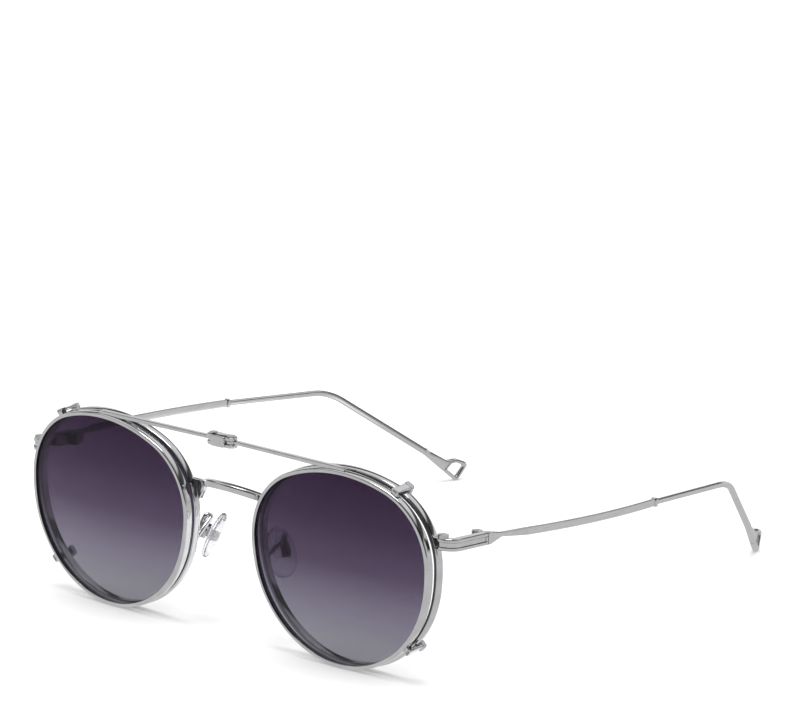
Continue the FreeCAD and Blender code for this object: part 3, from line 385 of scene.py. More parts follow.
class Board:
    """A node tree that is filled by expressions."""

    def __init__(self, owner: Any) -> None:
        """Empty a node tree.

        Args:
            owner: material or world that has it.
        """
        owner.use_nodes = True
        self.tree = owner.node_tree
        self.tree.nodes.clear()

    def node(self, kind: str, settings: dict[str, Any] | None = None,
             inputs: dict[Any, Any] | None = None, output: Any = 0) -> Wire:
        """Add a node.

        Args:
            kind: node type.
            settings: properties set first; "stops" holds a ramp's positions and colours.
            inputs: values or wires by socket name or number.
            output: name or number of the output that is returned.

        Returns:
            The output.
        """
        made = self.tree.nodes.new(kind)
        for name, value in (settings or {}).items():
            if name == "stops":
                ramp = made.color_ramp
                while len(ramp.elements) < len(value):
                    ramp.elements.new(0.5)
                for element, (position, colour) in zip(ramp.elements, value):
                    element.position = position
                    element.color = (*colour, 1.0)
            else:
                setattr(made, name, value)
        for name, value in (inputs or {}).items():
            if isinstance(value, Wire):
                self.tree.links.new(value.socket, made.inputs[name])
            else:
                made.inputs[name].default_value = value
        return Wire(self, made.outputs[output] if len(made.outputs) else None)

    def place(self) -> Wire:
        """Object coordinates."""
        return self.node("ShaderNodeTexCoord", output="Object")

    def axis(self, name: str) -> Wire:
        """One of the object coordinates X, Y and Z."""
        return self.node("ShaderNodeSeparateXYZ", inputs={0: self.place()}, output=name)

    def noise(self, scale: float, stretch: Triple = (1.0, 1.0, 1.0), detail: float = 3.0) -> Wire:
        """Noise from 0 to 1 on object coordinates, pressed together by stretch along each axis."""
        mapped = self.node("ShaderNodeMapping", inputs={"Vector": self.place(), "Scale": stretch})
        return self.node("ShaderNodeTexNoise", inputs={"Vector": mapped, "Scale": scale, "Detail": detail})

    def ramp(self, value: Wire, *stops: tuple[float, Triple]) -> Wire:
        """Colour that follows a value."""
        return self.node("ShaderNodeValToRGB", {"stops": stops}, {0: value})

    def bump(self, height: Wire, strength: float) -> Wire:
        """Normal of a fine relief."""
        inputs = {"Height": height, "Strength": strength, "Distance": RELIEF}
        return self.node("ShaderNodeBump", inputs=inputs)

    def rays(self) -> list[Wire]:
        """Whether a ray comes from the camera, from a gloss, and through something clear."""
        return [self.node("ShaderNodeLightPath", output=name)
                for name in ("Is Camera Ray", "Is Glossy Ray", "Is Transmission Ray")]

    def glow(self, colour: Any) -> Wire:
        """Light given off, of a colour."""
        return self.node("ShaderNodeEmission", inputs={"Color": colour, "Strength": 1.0})

    def shown(self, shader: Wire, kind: str = "ShaderNodeOutputMaterial") -> None:
        """Make a shader the result of the tree."""
        self.node(kind, inputs={"Surface": shader})

    def surface(self, inputs: dict[str, Any]) -> None:
        """Make a principled surface the result of the tree."""
        self.shown(self.node("ShaderNodeBsdfPrincipled", inputs=inputs))


def grey(level: float) -> Triple:
    """Colour without hue."""
    return (level, level, level)


@dataclass(frozen=True)
class Finish:
    """A surface finish, named for the material slot that it belongs to.

    Touch is the word that ends the names of its pieces.
    """

    slot: str
    name: str
    touch: ClassVar[str] = "polished"

    def material(self) -> bpy.types.Material:
        """Find the finish's material, or make it when it is first asked for.

        Returns:
            The material.
        """
        made = bpy.data.materials.get(self.name)
        if made is None:
            made = bpy.data.materials.new(self.name)
            self.paint(Board(made))
        return made

    def paint(self, board: Board) -> None:
        """Fill the material's board.

        Args:
            board: the board.
        """
        raise NotImplementedError


@dataclass(frozen=True)
class PolishedMetal(Finish):
    """Plated metal polished by hand: fine haze in the gloss, and painted shade where a shade is given."""

    bright: Triple = (0.80, 0.80, 0.81)
    dull: Triple = (0.70, 0.70, 0.71)
    smooth: float = 0.07
    haze: float = 0.09
    # Colour of the painted shade, where the metal stands in shade
    shaded: Triple = (0.08, 0.08, 0.085)
    cloud_scale: float = 260.0
    fine_scale: float = 2600.0
    fine_share: float = 0.3
    relief: float = 0.03

    def paint(self, board: Board) -> None:
        """Fill the material's board.

        Args:
            board: the board.
        """
        cloud = board.noise(self.cloud_scale, detail=4.0)
        fine = board.noise(self.fine_scale, detail=2.0)
        # Painted shade: the mesh's shade attribute darkens the base colour toward the shaded colour
        shade = board.node("ShaderNodeAttribute", {"attribute_name": "shade"}, output="Fac")
        board.surface({
            "Base Color": board.ramp(cloud * (1.0 - shade), (0.0, self.shaded), (DARK_AT, self.dull),
                                     (LIGHT_AT, self.bright)),
            "Metallic": 1.0,
            "Roughness": self.smooth + self.haze * (cloud * (1.0 - self.fine_share) + fine * self.fine_share),
            "Normal": board.bump(fine, self.relief)})


@dataclass(frozen=True)
class SatinMetal(Finish):
    """Metal with fine lines drawn along the temple."""

    touch: ClassVar[str] = "satin"
    light: Triple = (0.86, 0.86, 0.87)
    dark: Triple = (0.74, 0.74, 0.75)
    smooth: float = 0.18
    lines: float = 0.12
    line_scale: Triple = (3200.0, 70.0, 3200.0)
    cloud_scale: float = 180.0
    cloud_share: float = 0.3
    relief: float = 0.10

    def paint(self, board: Board) -> None:
        """Fill the material's board.

        Args:
            board: the board.
        """
        drawn = board.noise(1.0, self.line_scale, 4.0)
        cloud = board.noise(self.cloud_scale)
        tone = drawn * (1.0 - self.cloud_share) + cloud * self.cloud_share
        board.surface({
            "Base Color": board.ramp(tone, (DARK_AT, self.dark), (LIGHT_AT, self.light)),
            "Metallic": 1.0,
            "Roughness": self.smooth + self.lines * drawn,
            "Normal": board.bump(drawn, self.relief)})


@dataclass(frozen=True)
class TintedLens(Finish):
    """Sun lens, dense and violet at the top, fading to a clear grey at the bottom."""

    low: float = 0.0012
    high: float = 0.0487
    tints: tuple[tuple[float, Triple], ...] = (
        (0.0, (0.255, 0.253, 0.285)), (0.12, (0.238, 0.234, 0.268)), (0.30, (0.180, 0.164, 0.220)),
        (0.53, (0.079, 0.058, 0.100)), (0.76, (0.042, 0.026, 0.056)), (1.0, (0.024, 0.010, 0.032)))
    cloud_scale: float = 60.0
    unevenness: float = 0.02
    smooth: float = 0.01
    haze: float = 0.02
    ior: float = 1.25

    def paint(self, board: Board) -> None:
        """Fill the material's board.

        Args:
            board: the board.
        """
        share = ((board.axis("Z") - self.low) / (self.high - self.low)).clamped()
        cloud = board.noise(self.cloud_scale)
        board.surface({
            "Base Color": board.ramp(share + (cloud - 0.5) * self.unevenness, *self.tints),
            "Roughness": self.smooth + self.haze * cloud,
            "Transmission Weight": 1.0,
            "IOR": self.ior})


@dataclass(frozen=True)
class ClearLens(Finish):
    """Clear lens with a faint haze of polish."""

    veil: float = 0.035
    hazy: Triple = (0.92, 0.95, 0.94)
    clean: Triple = (0.97, 0.98, 0.98)
    cloud_scale: float = 90.0
    smooth: float = 0.02
    haze: float = 0.02
    gloss: float = 0.30
    ior: float = 1.5

    def paint(self, board: Board) -> None:
        """Fill the material's board.

        Args:
            board: the board.
        """
        cloud = board.noise(self.cloud_scale)
        board.surface({
            "Base Color": board.ramp(cloud, (DARK_AT, self.hazy), (LIGHT_AT, self.clean)),
            "Alpha": self.veil + self.haze * cloud,
            "Roughness": self.smooth + self.haze * cloud,
            "Specular IOR Level": self.gloss,
            "IOR": self.ior})


@dataclass(frozen=True)
class SoftClear(Finish):
    """Clear soft plastic with a slightly cloudy, satin skin."""

    touch: ClassVar[str] = "soft"
    pale: Triple = (0.96, 0.95, 0.99)
    milky: Triple = (0.88, 0.87, 0.92)
    passing: float = 0.95
    smooth: float = 0.06
    cloudy: float = 0.08
    cloud_scale: float = 420.0
    fine_scale: float = 2400.0
    relief: float = 0.04
    ior: float = 1.41

    def paint(self, board: Board) -> None:
        """Fill the material's board.

        Args:
            board: the board.
        """
        cloud = board.noise(self.cloud_scale)
        board.surface({
            "Base Color": board.ramp(cloud, (DARK_AT, self.milky), (LIGHT_AT, self.pale)),
            "Roughness": self.smooth + self.cloudy * cloud,
            "Transmission Weight": self.passing,
            "IOR": self.ior,
            "Normal": board.bump(board.noise(self.fine_scale), self.relief)})


POLISHED = PolishedMetal("polished_silver", "polished silver")
SCREW = PolishedMetal("screw_steel", "turned steel", grey(0.74), grey(0.60), 0.16, 0.14)
HINGE = PolishedMetal("hinge_steel", "stamped steel", grey(0.60), grey(0.46), 0.20, 0.16)
SATIN = SatinMetal("satin_silver", "satin silver")
TINTED = TintedLens("tinted_lens", "gradient tint")
CLEAR = ClearLens("clear_lens", "clear lens")
SILICONE = SoftClear("clear_silicone", "clear silicone")
SLEEVE = SoftClear("clear_sleeve", "clear sleeve", (0.70, 0.70, 0.72), (0.58, 0.58, 0.61), 0.60, 0.16)


def linked(name: str, data: Any) -> bpy.types.Object:
    """Put a new object into the scene.

    Args:
        name: object name.
        data: its mesh, light or camera.

    Returns:
        The object.
    """
    made = bpy.data.objects.new(name, data)
    bpy.context.collection.objects.link(made)
    return made


def piece(node: str, body: str, finish: Finish, shells: list[Shell], crease: float = 38.0) -> None:
    """Make a mesh object of closed skins that rides on a body and stands for a CAD node.

    Args:
        node: CAD node that it replaces; the object's name is this and the finish's touch.
        body: body that carries it.
        finish: finish of its surface.
        shells: its skins, in millimetres about the lens middle.
        crease: edges that turn by more degrees than this stay sharp.
    """
    faces: list[list[int]] = []
    start = 0
    for shell in shells:
        faces += (shell.quads + start).tolist()
        faces += [(cap + start).tolist() for cap in shell.caps]
        start += len(shell.points)
    points = (np.concatenate([shell.points for shell in shells]) + SHIFT) * MM
    name = node + "_" + finish.touch
    mesh = bpy.data.meshes.new(name)
    mesh.from_pydata(points.tolist(), [], faces)
    # Painted shade: the skins' shade values go onto the mesh, where the polished metal reads them to darken
    if all(shell.shade is not None for shell in shells):
        shade = mesh.attributes.new("shade", "FLOAT", "POINT")
        shade.data.foreach_set("value", np.concatenate([shell.shade for shell in shells]).astype(np.float32))
    work = bmesh.new()
    work.from_mesh(mesh)
    bmesh.ops.remove_doubles(work, verts=work.verts, dist=WELD)
    bmesh.ops.recalc_face_normals(work, faces=work.faces)
    work.to_mesh(mesh)
    work.free()
    mesh.polygons.foreach_set("use_smooth", np.ones(len(mesh.polygons), dtype=bool))
    mesh.set_sharp_from_angle(angle=math.radians(crease))
    made = linked(name, mesh)
    mesh.materials.append(finish.material())
    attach(made, body)
    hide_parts(node)
    log.info("%s on %s: %d faces, %s", name, body, len(mesh.polygons), finish.name)


def dress_node(node: str, finish: Finish) -> None:
    """Give a CAD node that stays visible its finish.

    Args:
        node: the node.
        finish: finish of its surface.
    """
    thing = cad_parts[node]
    thing.data.materials.clear()
    thing.data.materials.append(finish.material())
    log.info("%s: CAD solid, %s", node, finish.name)


# The object's pieces, in millimetres and degrees


@dataclass(frozen=True)
class LensOutline:
    """Outline that rims and lenses share: arcs that meet smoothly, leaned and laid on a sphere."""

    top: float = 23.6
    radii: Triple = (39.8, 18.2, 35.1)
    turns: Triple = (22.0, 68.6, 10.7)
    lean: float = 3.0
    sphere: float = 155.0
    wrap: float = 1.9
    tilt: float = 2.2
    rounding: float = 0.25
    bulge: float = 0.16
    places: int = 288
    lens_rows: int = 14

    def arcs(self) -> tuple[Array, Array, Array]:
        """Arcs of the outer half from the top down.

        Each arc starts where the last one ends, with the same normal; the last one's middle lies on
        the upright through the lens middle.

        Returns:
            Their middles (x, z), their radii, and the normal angles where each but the first starts.
        """
        point, facing = np.array([0.0, self.top]), 90.0
        middles, starts = [], []
        for radius, turn in zip(self.radii, self.turns):
            middles.append(point - polar(facing) * radius)
            facing -= turn
            starts.append(facing)
            point = middles[-1] + polar(facing) * radius
        last = float(point[0] / math.cos(math.radians(facing)))
        middles.append(point - polar(facing) * last)
        return np.array(middles), np.array([*self.radii, last]), np.array(starts)

    def edge(self, facing: Array, grow: Array | float, side: Side) -> Array:
        """Points (x, z) of the outline grown outward, where its normal has given angles.

        Angles run from 90 at the top over 0 at the outer side and -90 at the bottom to -270.

        Args:
            facing: the angles.
            grow: how far outward from the outline.
            side: side of the glasses.

        Returns:
            Points about the lens middle.
        """
        middles, radii, starts = self.arcs()
        outer = facing >= -90.0
        half = np.where(outer, facing, -180.0 - facing)
        which = np.sum(half[..., None] < starts, axis=-1)
        flat = middles[which] + polar(half) * (radii[which] + grow)[..., None]
        x = np.where(outer, flat[..., 0], -flat[..., 0])
        return self.leaned(packed(x, flat[..., 1]), side)

    def leaned(self, flat: Array, side: Side) -> Array:
        """Points or directions (x, z) with the outer side turned up, on their side."""
        return turned(flat, self.lean, 0, 1) * [side.value, 1.0]

    def facings(self) -> Array:
        """Normal angles round the whole outline."""
        return np.linspace(90.0, -270.0, self.places, endpoint=False)

    def laid(self, flat: Array, depth: Array | float) -> Array:
        """Points (x, y, z) of the lens plane laid on the sphere that starts a depth behind its front."""
        y = self.sphere - np.sqrt((self.sphere - depth) ** 2 - np.sum(flat ** 2, axis=-1))
        return packed(flat[..., 0], y, flat[..., 1])

    def stand(self, points: Array, side: Side, centre_x: float) -> Array:
        """Points of a lens tilted, turned round the face and put in its place."""
        wrapped = turned(turned(points, self.tilt, 1, 2), side.value * self.wrap, 0, 1)
        return wrapped + X_AXIS * (side.value * centre_x)

    def ring(self, side: Side, centre_x: float, width: float, front: float, depth: float,
             dark: bool = False) -> Shell:
        """Rim: a rounded rectangle carried round the outline, its first axis outward and its second
        back along the sphere.

        Its outside is a shallow barrel: a point at a share s of half the depth from the middle is drawn
        in by bulge s squared, in proportion to how far outside the middle of the width it is.

        Args:
            side: side of the glasses.
            centre_x: middle of the lens.
            width: from the inside to the outside.
            front: how far behind the clip's front it starts.
            depth: from front to back.
            dark: whether shade is painted on its inner wall and its back, to stand for the shade in the gap
                to the frame rim and along the lens.

        Returns:
            The rim's skin.
        """
        corners = rounded_section(width, depth, self.rounding, 5)[0]
        level = np.linspace(self.rounding - depth / 2, depth / 2 - self.rounding, 13)[1:-1]
        across, back = np.concatenate([corners, packed(width / 2, level)]).T
        drawn = self.bulge * (back / (depth / 2)) ** 2 * np.maximum(across, 0.0) / (width / 2)
        across, back = across + width / 2 - drawn, back + front + depth / 2
        flat = self.edge(self.facings()[:, None], across, side)
        # Painted shade on the back wall, facing the shaded gap to the frame rim, and on the inner wall that
        # holds the lens
        behind = (back - front - depth + self.rounding) / self.rounding
        inside = 1.0 - across / (self.rounding / 2)
        shade = np.clip(np.maximum(behind, inside), 0.0, 1.0) if dark else None
        return skin(self.stand(self.laid(flat, back), side, centre_x), True, shade)

    def cap(self, side: Side, centre_x: float, grow: float, front: float, thickness: float) -> Shell:
        """Lens: the outline drawn in to the middle on two spheres, one for each face.

        Args:
            side: side of the glasses.
            centre_x: middle of the lens.
            grow: how far its edge is outside the outline.
            front: how far behind the clip's front it starts.
            thickness: from one face to the other.

        Returns:
            The lens's skin.
        """
        share = np.linspace(0.0, 1.0, self.lens_rows + 1)[1:]
        share = np.concatenate([share, share[::-1]])[:, None, None]
        depth = np.repeat([front, front + thickness], self.lens_rows)[:, None]
        flat = self.edge(self.facings()[::2], grow, side) * share
        return skin(self.stand(self.laid(flat, depth), side, centre_x))


OUTLINE = LensOutline()


@dataclass(frozen=True)
class Front:
    """Rims and lenses of the clear frame and of the clip."""

    clip_x: float = 38.3
    frame_x: float = 38.7
    clip_width: float = 1.1
    clip_depth: float = 2.1
    frame_width: float = 1.3
    frame_front: float = 3.1
    frame_depth: float = 2.05
    groove: float = 0.4
    tinted_from: float = 0.5
    tinted_thick: float = 1.2
    clear_from: float = 0.3
    clear_thick: float = 1.3

    def build(self) -> None:
        """Make the rims and lenses of both sides."""
        for side in Side:
            clip = side.tag + "_clip"
            rim = OUTLINE.ring(side, self.frame_x, self.frame_width, self.frame_front, self.frame_depth)
            piece(side.tag + "_frame_rim", "frame", POLISHED, [rim])
            # The clip rim carries the painted shade
            rim = OUTLINE.ring(side, self.clip_x, self.clip_width, 0.0, self.clip_depth, True)
            piece(side.tag + "_clip_rim", clip, POLISHED, [rim])
            lens = OUTLINE.cap(side, self.frame_x, self.groove, self.frame_front + self.clear_from,
                               self.clear_thick)
            piece(side.tag + "_clear_lens", "frame", CLEAR, [lens])
            lens = OUTLINE.cap(side, self.clip_x, self.groove, self.tinted_from, self.tinted_thick)
            piece(side.tag + "_tinted_lens", clip, TINTED, [lens])

    def rim_edge(self, z: Array, facings: Pair) -> Array:
        """X of the frame rim's edge, read between points of its outline.

        Args:
            z: heights.
            facings: normal angles between which the stretch of the edge lies.

        Returns:
            X at each height, on the right side.
        """
        edge = OUTLINE.edge(np.linspace(*facings, 61), self.frame_width, Side.RIGHT)
        edge = edge[np.argsort(edge[:, 1])]
        return np.interp(z, edge[:, 1], edge[:, 0]) + self.frame_x


FRONT = Front()


@dataclass(frozen=True)
class Bridge:
    """Arch over the nose between two shoulder plates that end in the rims."""

    half_span: float = 9.2
    end_z: float = 11.5
    rise: float = 2.3
    bow: float = 4.5
    height: float = 1.85
    depth: float = 2.2
    edge: float = 0.55
    y: float = 6.3
    shoulder_depth: float = 1.4
    shoulder: tuple[Pair, ...] = ((8.7, 11.5), (9.5, 10.1), (10.3, 7.5), (13.5, 7.5), (16.0, 12.4),
                                  (8.7, 12.4))
    shoulder_edge: float = 0.2
    rounding: float = 0.3
    let_in: float = 0.12
    nose_side: Pair = (-140.0, -250.0)

    def arch(self) -> Shell:
        """Arch: a rounded rectangle along part of a circle, which rises and comes forward to its middle.

        The circle goes through the two ends and the middle, so it lies in a leaning plane. At a turn a
        from the middle the circle's outward direction is crest cos a + X sin a, where crest points from
        the ends to the middle, and the section keeps its place to that direction and to the plane.

        Returns:
            The arch's skin.
        """
        crest = np.array([0.0, -self.bow, self.rise])
        height = float(np.linalg.norm(crest))
        crest = crest / height
        square = np.cross(X_AXIS, crest)
        radius = (self.half_span ** 2 + height ** 2) / (2 * height)
        reach = math.asin(self.half_span / radius)
        turns = np.linspace(-reach, reach, 49)[:, None]
        outward = crest * np.cos(turns) + X_AXIS * np.sin(turns)
        middle = np.array([0.0, self.y, self.end_z]) + crest * (height - radius)
        across = outward * crest[1] + square * square[1]
        upright = outward * crest[2] + square * square[2]
        section = rounded_section(self.depth, self.height, self.edge, 6)[0]
        return skin(carried(middle + outward * radius, section, across, upright))

    def build(self) -> None:
        """Make the bridge: the arch and a flat shoulder at each end, cut off at the rim's edge."""
        outline = rounded_polygon(np.array(self.shoulder), self.rounding)
        half = self.shoulder_depth / 2
        x, z, y = np.moveaxis(plate(outline, self.y - half, self.y + half, self.shoulder_edge), -1, 0)
        x = np.minimum(x, FRONT.rim_edge(z, self.nose_side) + self.let_in)
        shoulders = [skin(packed(side.value * x, y, z)) for side in Side]
        piece("bridge", "frame", POLISHED, [self.arch(), *shoulders])


@dataclass(frozen=True)
class Endpiece:
    """Band that runs out from a rim and bends back to the hinge, with a panel let into its outside."""

    z: float = 10.85
    y: float = 7.0
    height: float = 3.0
    thickness: float = 2.2
    outer_x: float = 70.1
    corner: float = 4.0
    end_y: float = 19.6
    slope: float = 3.5
    rounding: float = 0.3
    panel_height: float = 1.3
    panel_depth: float = 0.28
    panel_end_y: float = 19.0
    panel_lip: float = 0.06
    panel_hem: float = 0.20
    wall_step: float = 0.01
    # How much shade is painted on the panel's walls
    wall_shade: float = 0.9
    start_x: float = 64.6
    let_in: float = 0.12
    outer_side: Pair = (60.0, -20.0)
    crease: float = 30.0

    def sloped(self, points: Array) -> Array:
        """Points built level, turned to the slope of the endpiece about the middle of its front."""
        pivot = np.array([0.0, self.y, self.z])
        return turned(points - pivot, -self.slope, 1, 2) + pivot

    def section(self, depth: Array) -> tuple[Array, Array]:
        """Rounded rectangle with a panel let into its outside, for each panel depth.

        The first axis is outward from the outside face, the second upright. The panel's walls lean a
        little, their edges are two close points, and shade is painted on the walls, to stand for the shade
        and dark reflections in the recess.

        Args:
            depth: depth of the panel at each station.

        Returns:
            Points as [station, place, 2], and the painted shade of each place.
        """
        box = rounded_section(self.thickness, self.height, self.rounding)[0]
        angle = np.arctan2(box[:, 1], box[:, 0])
        box = box[np.argsort(angle)] - [self.thickness / 2, 0.0]
        split = int(np.sum(angle < 0.0))
        upright = self.panel_height / 2 + np.array([self.panel_lip, 0.0, -self.panel_lip, -self.panel_hem])
        deep = np.array([0.0, 0.3, 1.0, 1.0])
        # Painted shade on the panel's walls, standing for the shade and dark reflections in the recess
        dark = np.array([0.0, self.wall_shade, self.wall_shade, 0.0])
        upright, deep, dark = (np.concatenate([sign * values, values[::-1]])
                               for sign, values in ((-1, upright), (1, deep), (1, dark)))
        whole = np.broadcast_to(box, (len(depth), *box.shape))
        cuts = packed(-deep * depth[:, None], upright)
        return (np.concatenate([whole[:, :split], cuts, whole[:, split:]], axis=1),
                np.insert(np.zeros(len(box)), split, dark))

    def from_rim(self, points: Array, side: Side) -> Array:
        """Points with those inside the outer edge of the frame rim pulled out to just inside that edge.

        The edge's X is read at each point's height from the rim's outline.

        Args:
            points: points of the endpiece.
            side: side of the glasses.

        Returns:
            The points.
        """
        x, y, z = np.moveaxis(points, -1, 0)
        reach = FRONT.rim_edge(z, self.outer_side) - self.let_in
        return packed(side.value * np.maximum(side.value * x, reach), y, z)

    def build(self) -> None:
        """Make both endpieces: the grooved section carried along the bent plan of the outside face."""
        front = self.y - self.thickness / 2
        plan = ((self.start_x, front), (self.outer_x, front), (self.outer_x, self.end_y))
        ends = np.array([self.panel_end_y - self.wall_step, self.panel_end_y, self.end_y])
        for side in Side:
            corners = [np.array([side.value * x, y, self.z]) for x, y in plan]
            path = bent_path(corners, [self.corner], 0.4, 18)
            path = path[path[:, 1] < self.panel_end_y - 5 * self.wall_step]
            path = np.concatenate([path, packed(side.value * self.outer_x, ends, self.z)])
            depth = np.where(path[:, 1] < self.panel_end_y - self.wall_step / 2, self.panel_depth, 0.0)
            outward = unit(np.cross(unit(np.gradient(path, axis=0)), Z_AXIS)) * side.value
            sections, shade = self.section(depth)
            rings = self.sloped(carried(path, sections, outward, Z_AXIS[None]))
            made = skin(self.from_rim(rings, side), shade=shade)
            piece(side.tag + "_endpiece", "frame", POLISHED, [made], self.crease)


ENDPIECE = Endpiece()


@dataclass(frozen=True)
class Temple:
    """Temple: tapered butt and flat strip, collar, round rod with its ear bend, and looped tip."""

    butt_y: Pair = (19.8, 21.0)
    butt_taper: float = 0.97
    neck: Triple = (69.8, 24.6, 0.65)
    neck_size: Pair = (0.95, 1.15)
    strip_start: Triple = (71.2, 32.5, 1.25)
    strip_middle: Triple = (72.9, 58.0, 2.85)
    strip_size: Pair = (0.9, 1.9)
    strip_round: float = 0.26
    strip_crease: float = 50.0
    collar: Triple = (71.5, 82.0, 4.25)
    collar_size: Pair = (1.7, 2.3)
    collar_length: float = 1.0
    collar_round: float = 0.42
    collar_places: tuple[float, ...] = (-0.5, -0.42, -0.25, 0.25, 0.42, 0.5)
    collar_shrink: tuple[float, ...] = (0.62, 0.88, 1.0, 1.0, 0.88, 0.62)
    rod_radii: Pair = (0.72, 0.90)
    rod_let_in: float = 0.6
    bend: Triple = (67.5, 117.7, 7.2)
    bend_radius: float = 17.0
    tip_start: Pair = (55.0, 143.7)
    turn_in: float = 23.3
    slope: float = 45.0
    socket: float = 1.2
    half_height: float = 0.95
    thickness: float = 1.7
    flat_from: float = 5.0
    paddle_at: Triple = (1.2, 6.0, 9.0)
    paddle_round: Triple = (0.94, 0.42, 0.36)
    least_flat: float = 0.01
    toe: Pair = (13.6, -0.1)
    crown: Pair = (12.7, 6.0)
    shoulder: Pair = (9.0, 4.5)
    loop_neck: Pair = (7.0, 2.3)
    wall: float = 1.0
    hole_from: float = 8.6
    outer_round: float = 1.0
    inner_round: float = 0.5
    edge: float = 0.44

    def at(self, side: Side, spot: Triple) -> Array:
        """Point given by its X, its Y and its drop below the endpiece middle."""
        return np.array([side.value * spot[0], spot[1], ENDPIECE.z - spot[2]])

    def strip(self, side: Side) -> Shell:
        """Butt, taper and strip: a rounded rectangle carried along the temple, growing and shrinking.

        The strip bows through its start, middle and end: at a share s of its length it stands off the
        straight line in proportion to s (1 - s). Before it, the path goes straight from the butt to the
        neck and from there to the strip's start.

        Args:
            side: side of the glasses.

        Returns:
            The strip's skin.
        """
        butt_x = side.value * (ENDPIECE.outer_x - ENDPIECE.thickness / 2)
        butt = ENDPIECE.sloped(packed(butt_x, self.butt_y, ENDPIECE.z))
        neck, first, middle, last = (self.at(side, spot) for spot in (
            self.neck, self.strip_start, self.strip_middle, self.collar))
        line = last - first
        part = float((middle - first) @ line / (line @ line))
        bow = (middle - first - line * part) / (part * (1 - part))
        share = np.linspace(0.0, 1.0, 49)[:, None]
        run = first + line * share + bow * share * (1 - share)
        steps = [0.0, 0.25, 1.0, 2.0]
        along = np.concatenate([np.linspace(start, end, parts, endpoint=False)
                                for start, end, parts in zip(steps, steps[1:], (3, 12, 16))])
        head = packed(*(np.interp(along, steps, row) for row in np.vstack([butt, neck, first]).T))
        along = np.concatenate([along, np.full(len(run), steps[-1])])
        wide = np.interp(along, steps, [ENDPIECE.thickness, ENDPIECE.thickness, self.neck_size[0],
                                        self.strip_size[0]])
        tall = np.interp(along, steps, [ENDPIECE.height, ENDPIECE.height * self.butt_taper, self.neck_size[1],
                                        self.strip_size[1]])
        sections = rounded_section(wide, tall, self.strip_round * np.minimum(1.0, wide))
        return swept(np.concatenate([head, run]), Z_AXIS, sections)

    def tip_spot(self, side: Side) -> Spot:
        """Axes of the tip: along it, up across it, and through it, with its lowest point on the floor.

        Args:
            side: side of the glasses.

        Returns:
            The place where the tip starts.
        """
        inward, down = polar(self.turn_in), polar(self.slope)
        level = np.array([-side.value * inward[1], inward[0], 0.0])
        along = level * down[0] - Z_AXIS * down[1]
        through = unit(np.cross(along, Z_AXIS))
        up = np.cross(through, along)
        start = np.array([side.value * self.tip_start[0], self.tip_start[1], 0.0])
        low = float(Spot(start, along, up, through).out(self.loop_rings())[..., 2].min())
        return Spot(start - Z_AXIS * (low + SHIFT[2]), along, up, through)

    def lower_edge(self, along: Array | float) -> Array | float:
        """Level of the tip's lower edge, which goes straight to the toe."""
        return -self.half_height + (self.toe[1] + self.half_height) * along / self.toe[0]

    def loop_rings(self) -> Array:
        """Rings of the loop along the tip's own axes.

        The loop lies between a polygon with rounded corners and the same polygon with each side moved in
        by the wall.

        Returns:
            Rings as [place, point of the section, 3].
        """
        shoulder, neck = self.shoulder, self.loop_neck
        back = self.hole_from - self.wall
        high = neck[1] + (shoulder[1] - neck[1]) * (back - neck[0]) / (shoulder[0] - neck[0])
        corners = np.array([(back, self.lower_edge(back)), self.toe, self.crown, shoulder, (back, high)])
        before = unit(corners - np.roll(corners, 1, axis=0))
        after = unit(np.roll(corners, -1, axis=0) - corners)
        inward = packed(-before[:, 1] - after[:, 1], before[:, 0] + after[:, 0])
        half = np.arccos(np.clip(np.sum(before * after, axis=1), -1.0, 1.0)) / 2
        inner = corners + unit(inward) * (self.wall / np.cos(half))[:, None]
        radii = np.array([self.inner_round, *[self.outer_round] * 3, self.inner_round])
        return band(rounded_polygon(inner, self.inner_round), rounded_polygon(corners, radii), self.thickness,
                    self.edge)

    def paddle_rings(self) -> Array:
        """Rings of the socket and paddle along the tip's own axes.

        A round section at the rod turns into a flat rounded one where the loop begins: the lower edge
        goes straight to the toe, and the upper edge rises to the loop's neck.

        Returns:
            Rings as [ring, place, 3].
        """
        along = np.linspace(0.0, self.hole_from, 25)
        low = self.lower_edge(along)
        high = np.interp(along, [self.socket, self.loop_neck[0], self.shoulder[0]],
                         [self.half_height, self.loop_neck[1], self.shoulder[1]])
        wide = np.interp(along, [self.socket, self.flat_from], [2 * self.half_height, self.thickness])
        rounding = np.interp(along, self.paddle_at, self.paddle_round)
        sections = rounded_section(wide, high - low, np.minimum(rounding, wide / 2 - self.least_flat))
        return packed(along[:, None], sections[..., 1] + ((high + low) / 2)[:, None], sections[..., 0])

    def build(self) -> None:
        """Make both temples."""
        places = np.array(self.collar_places)[:, None] * self.collar_length
        sections = rounded_section(*np.outer((*self.collar_size, self.collar_round), self.collar_shrink))
        for side in Side:
            body = side.tag + "_temple"
            piece(body + "_strip", body, SATIN, [self.strip(side)], self.strip_crease)
            spot = self.tip_spot(side)
            collar, bend = self.at(side, self.collar), self.at(side, self.bend)
            end = spot.origin + spot.x * self.rod_let_in
            path = bent_path([collar, bend, end], [self.bend_radius], 1.2, 40)
            piece(body + "_rod", body, SATIN, [round_wire(path, np.linspace(*self.rod_radii, len(path)))])
            ring = swept(collar + places * unit(bend - collar), Z_AXIS, sections)
            piece(body + "_collar", body, POLISHED, [ring])
            tip = [skin(spot.out(self.paddle_rings())), skin(spot.out(self.loop_rings()), True)]
            piece(body + "_tip", body, SATIN, tip)


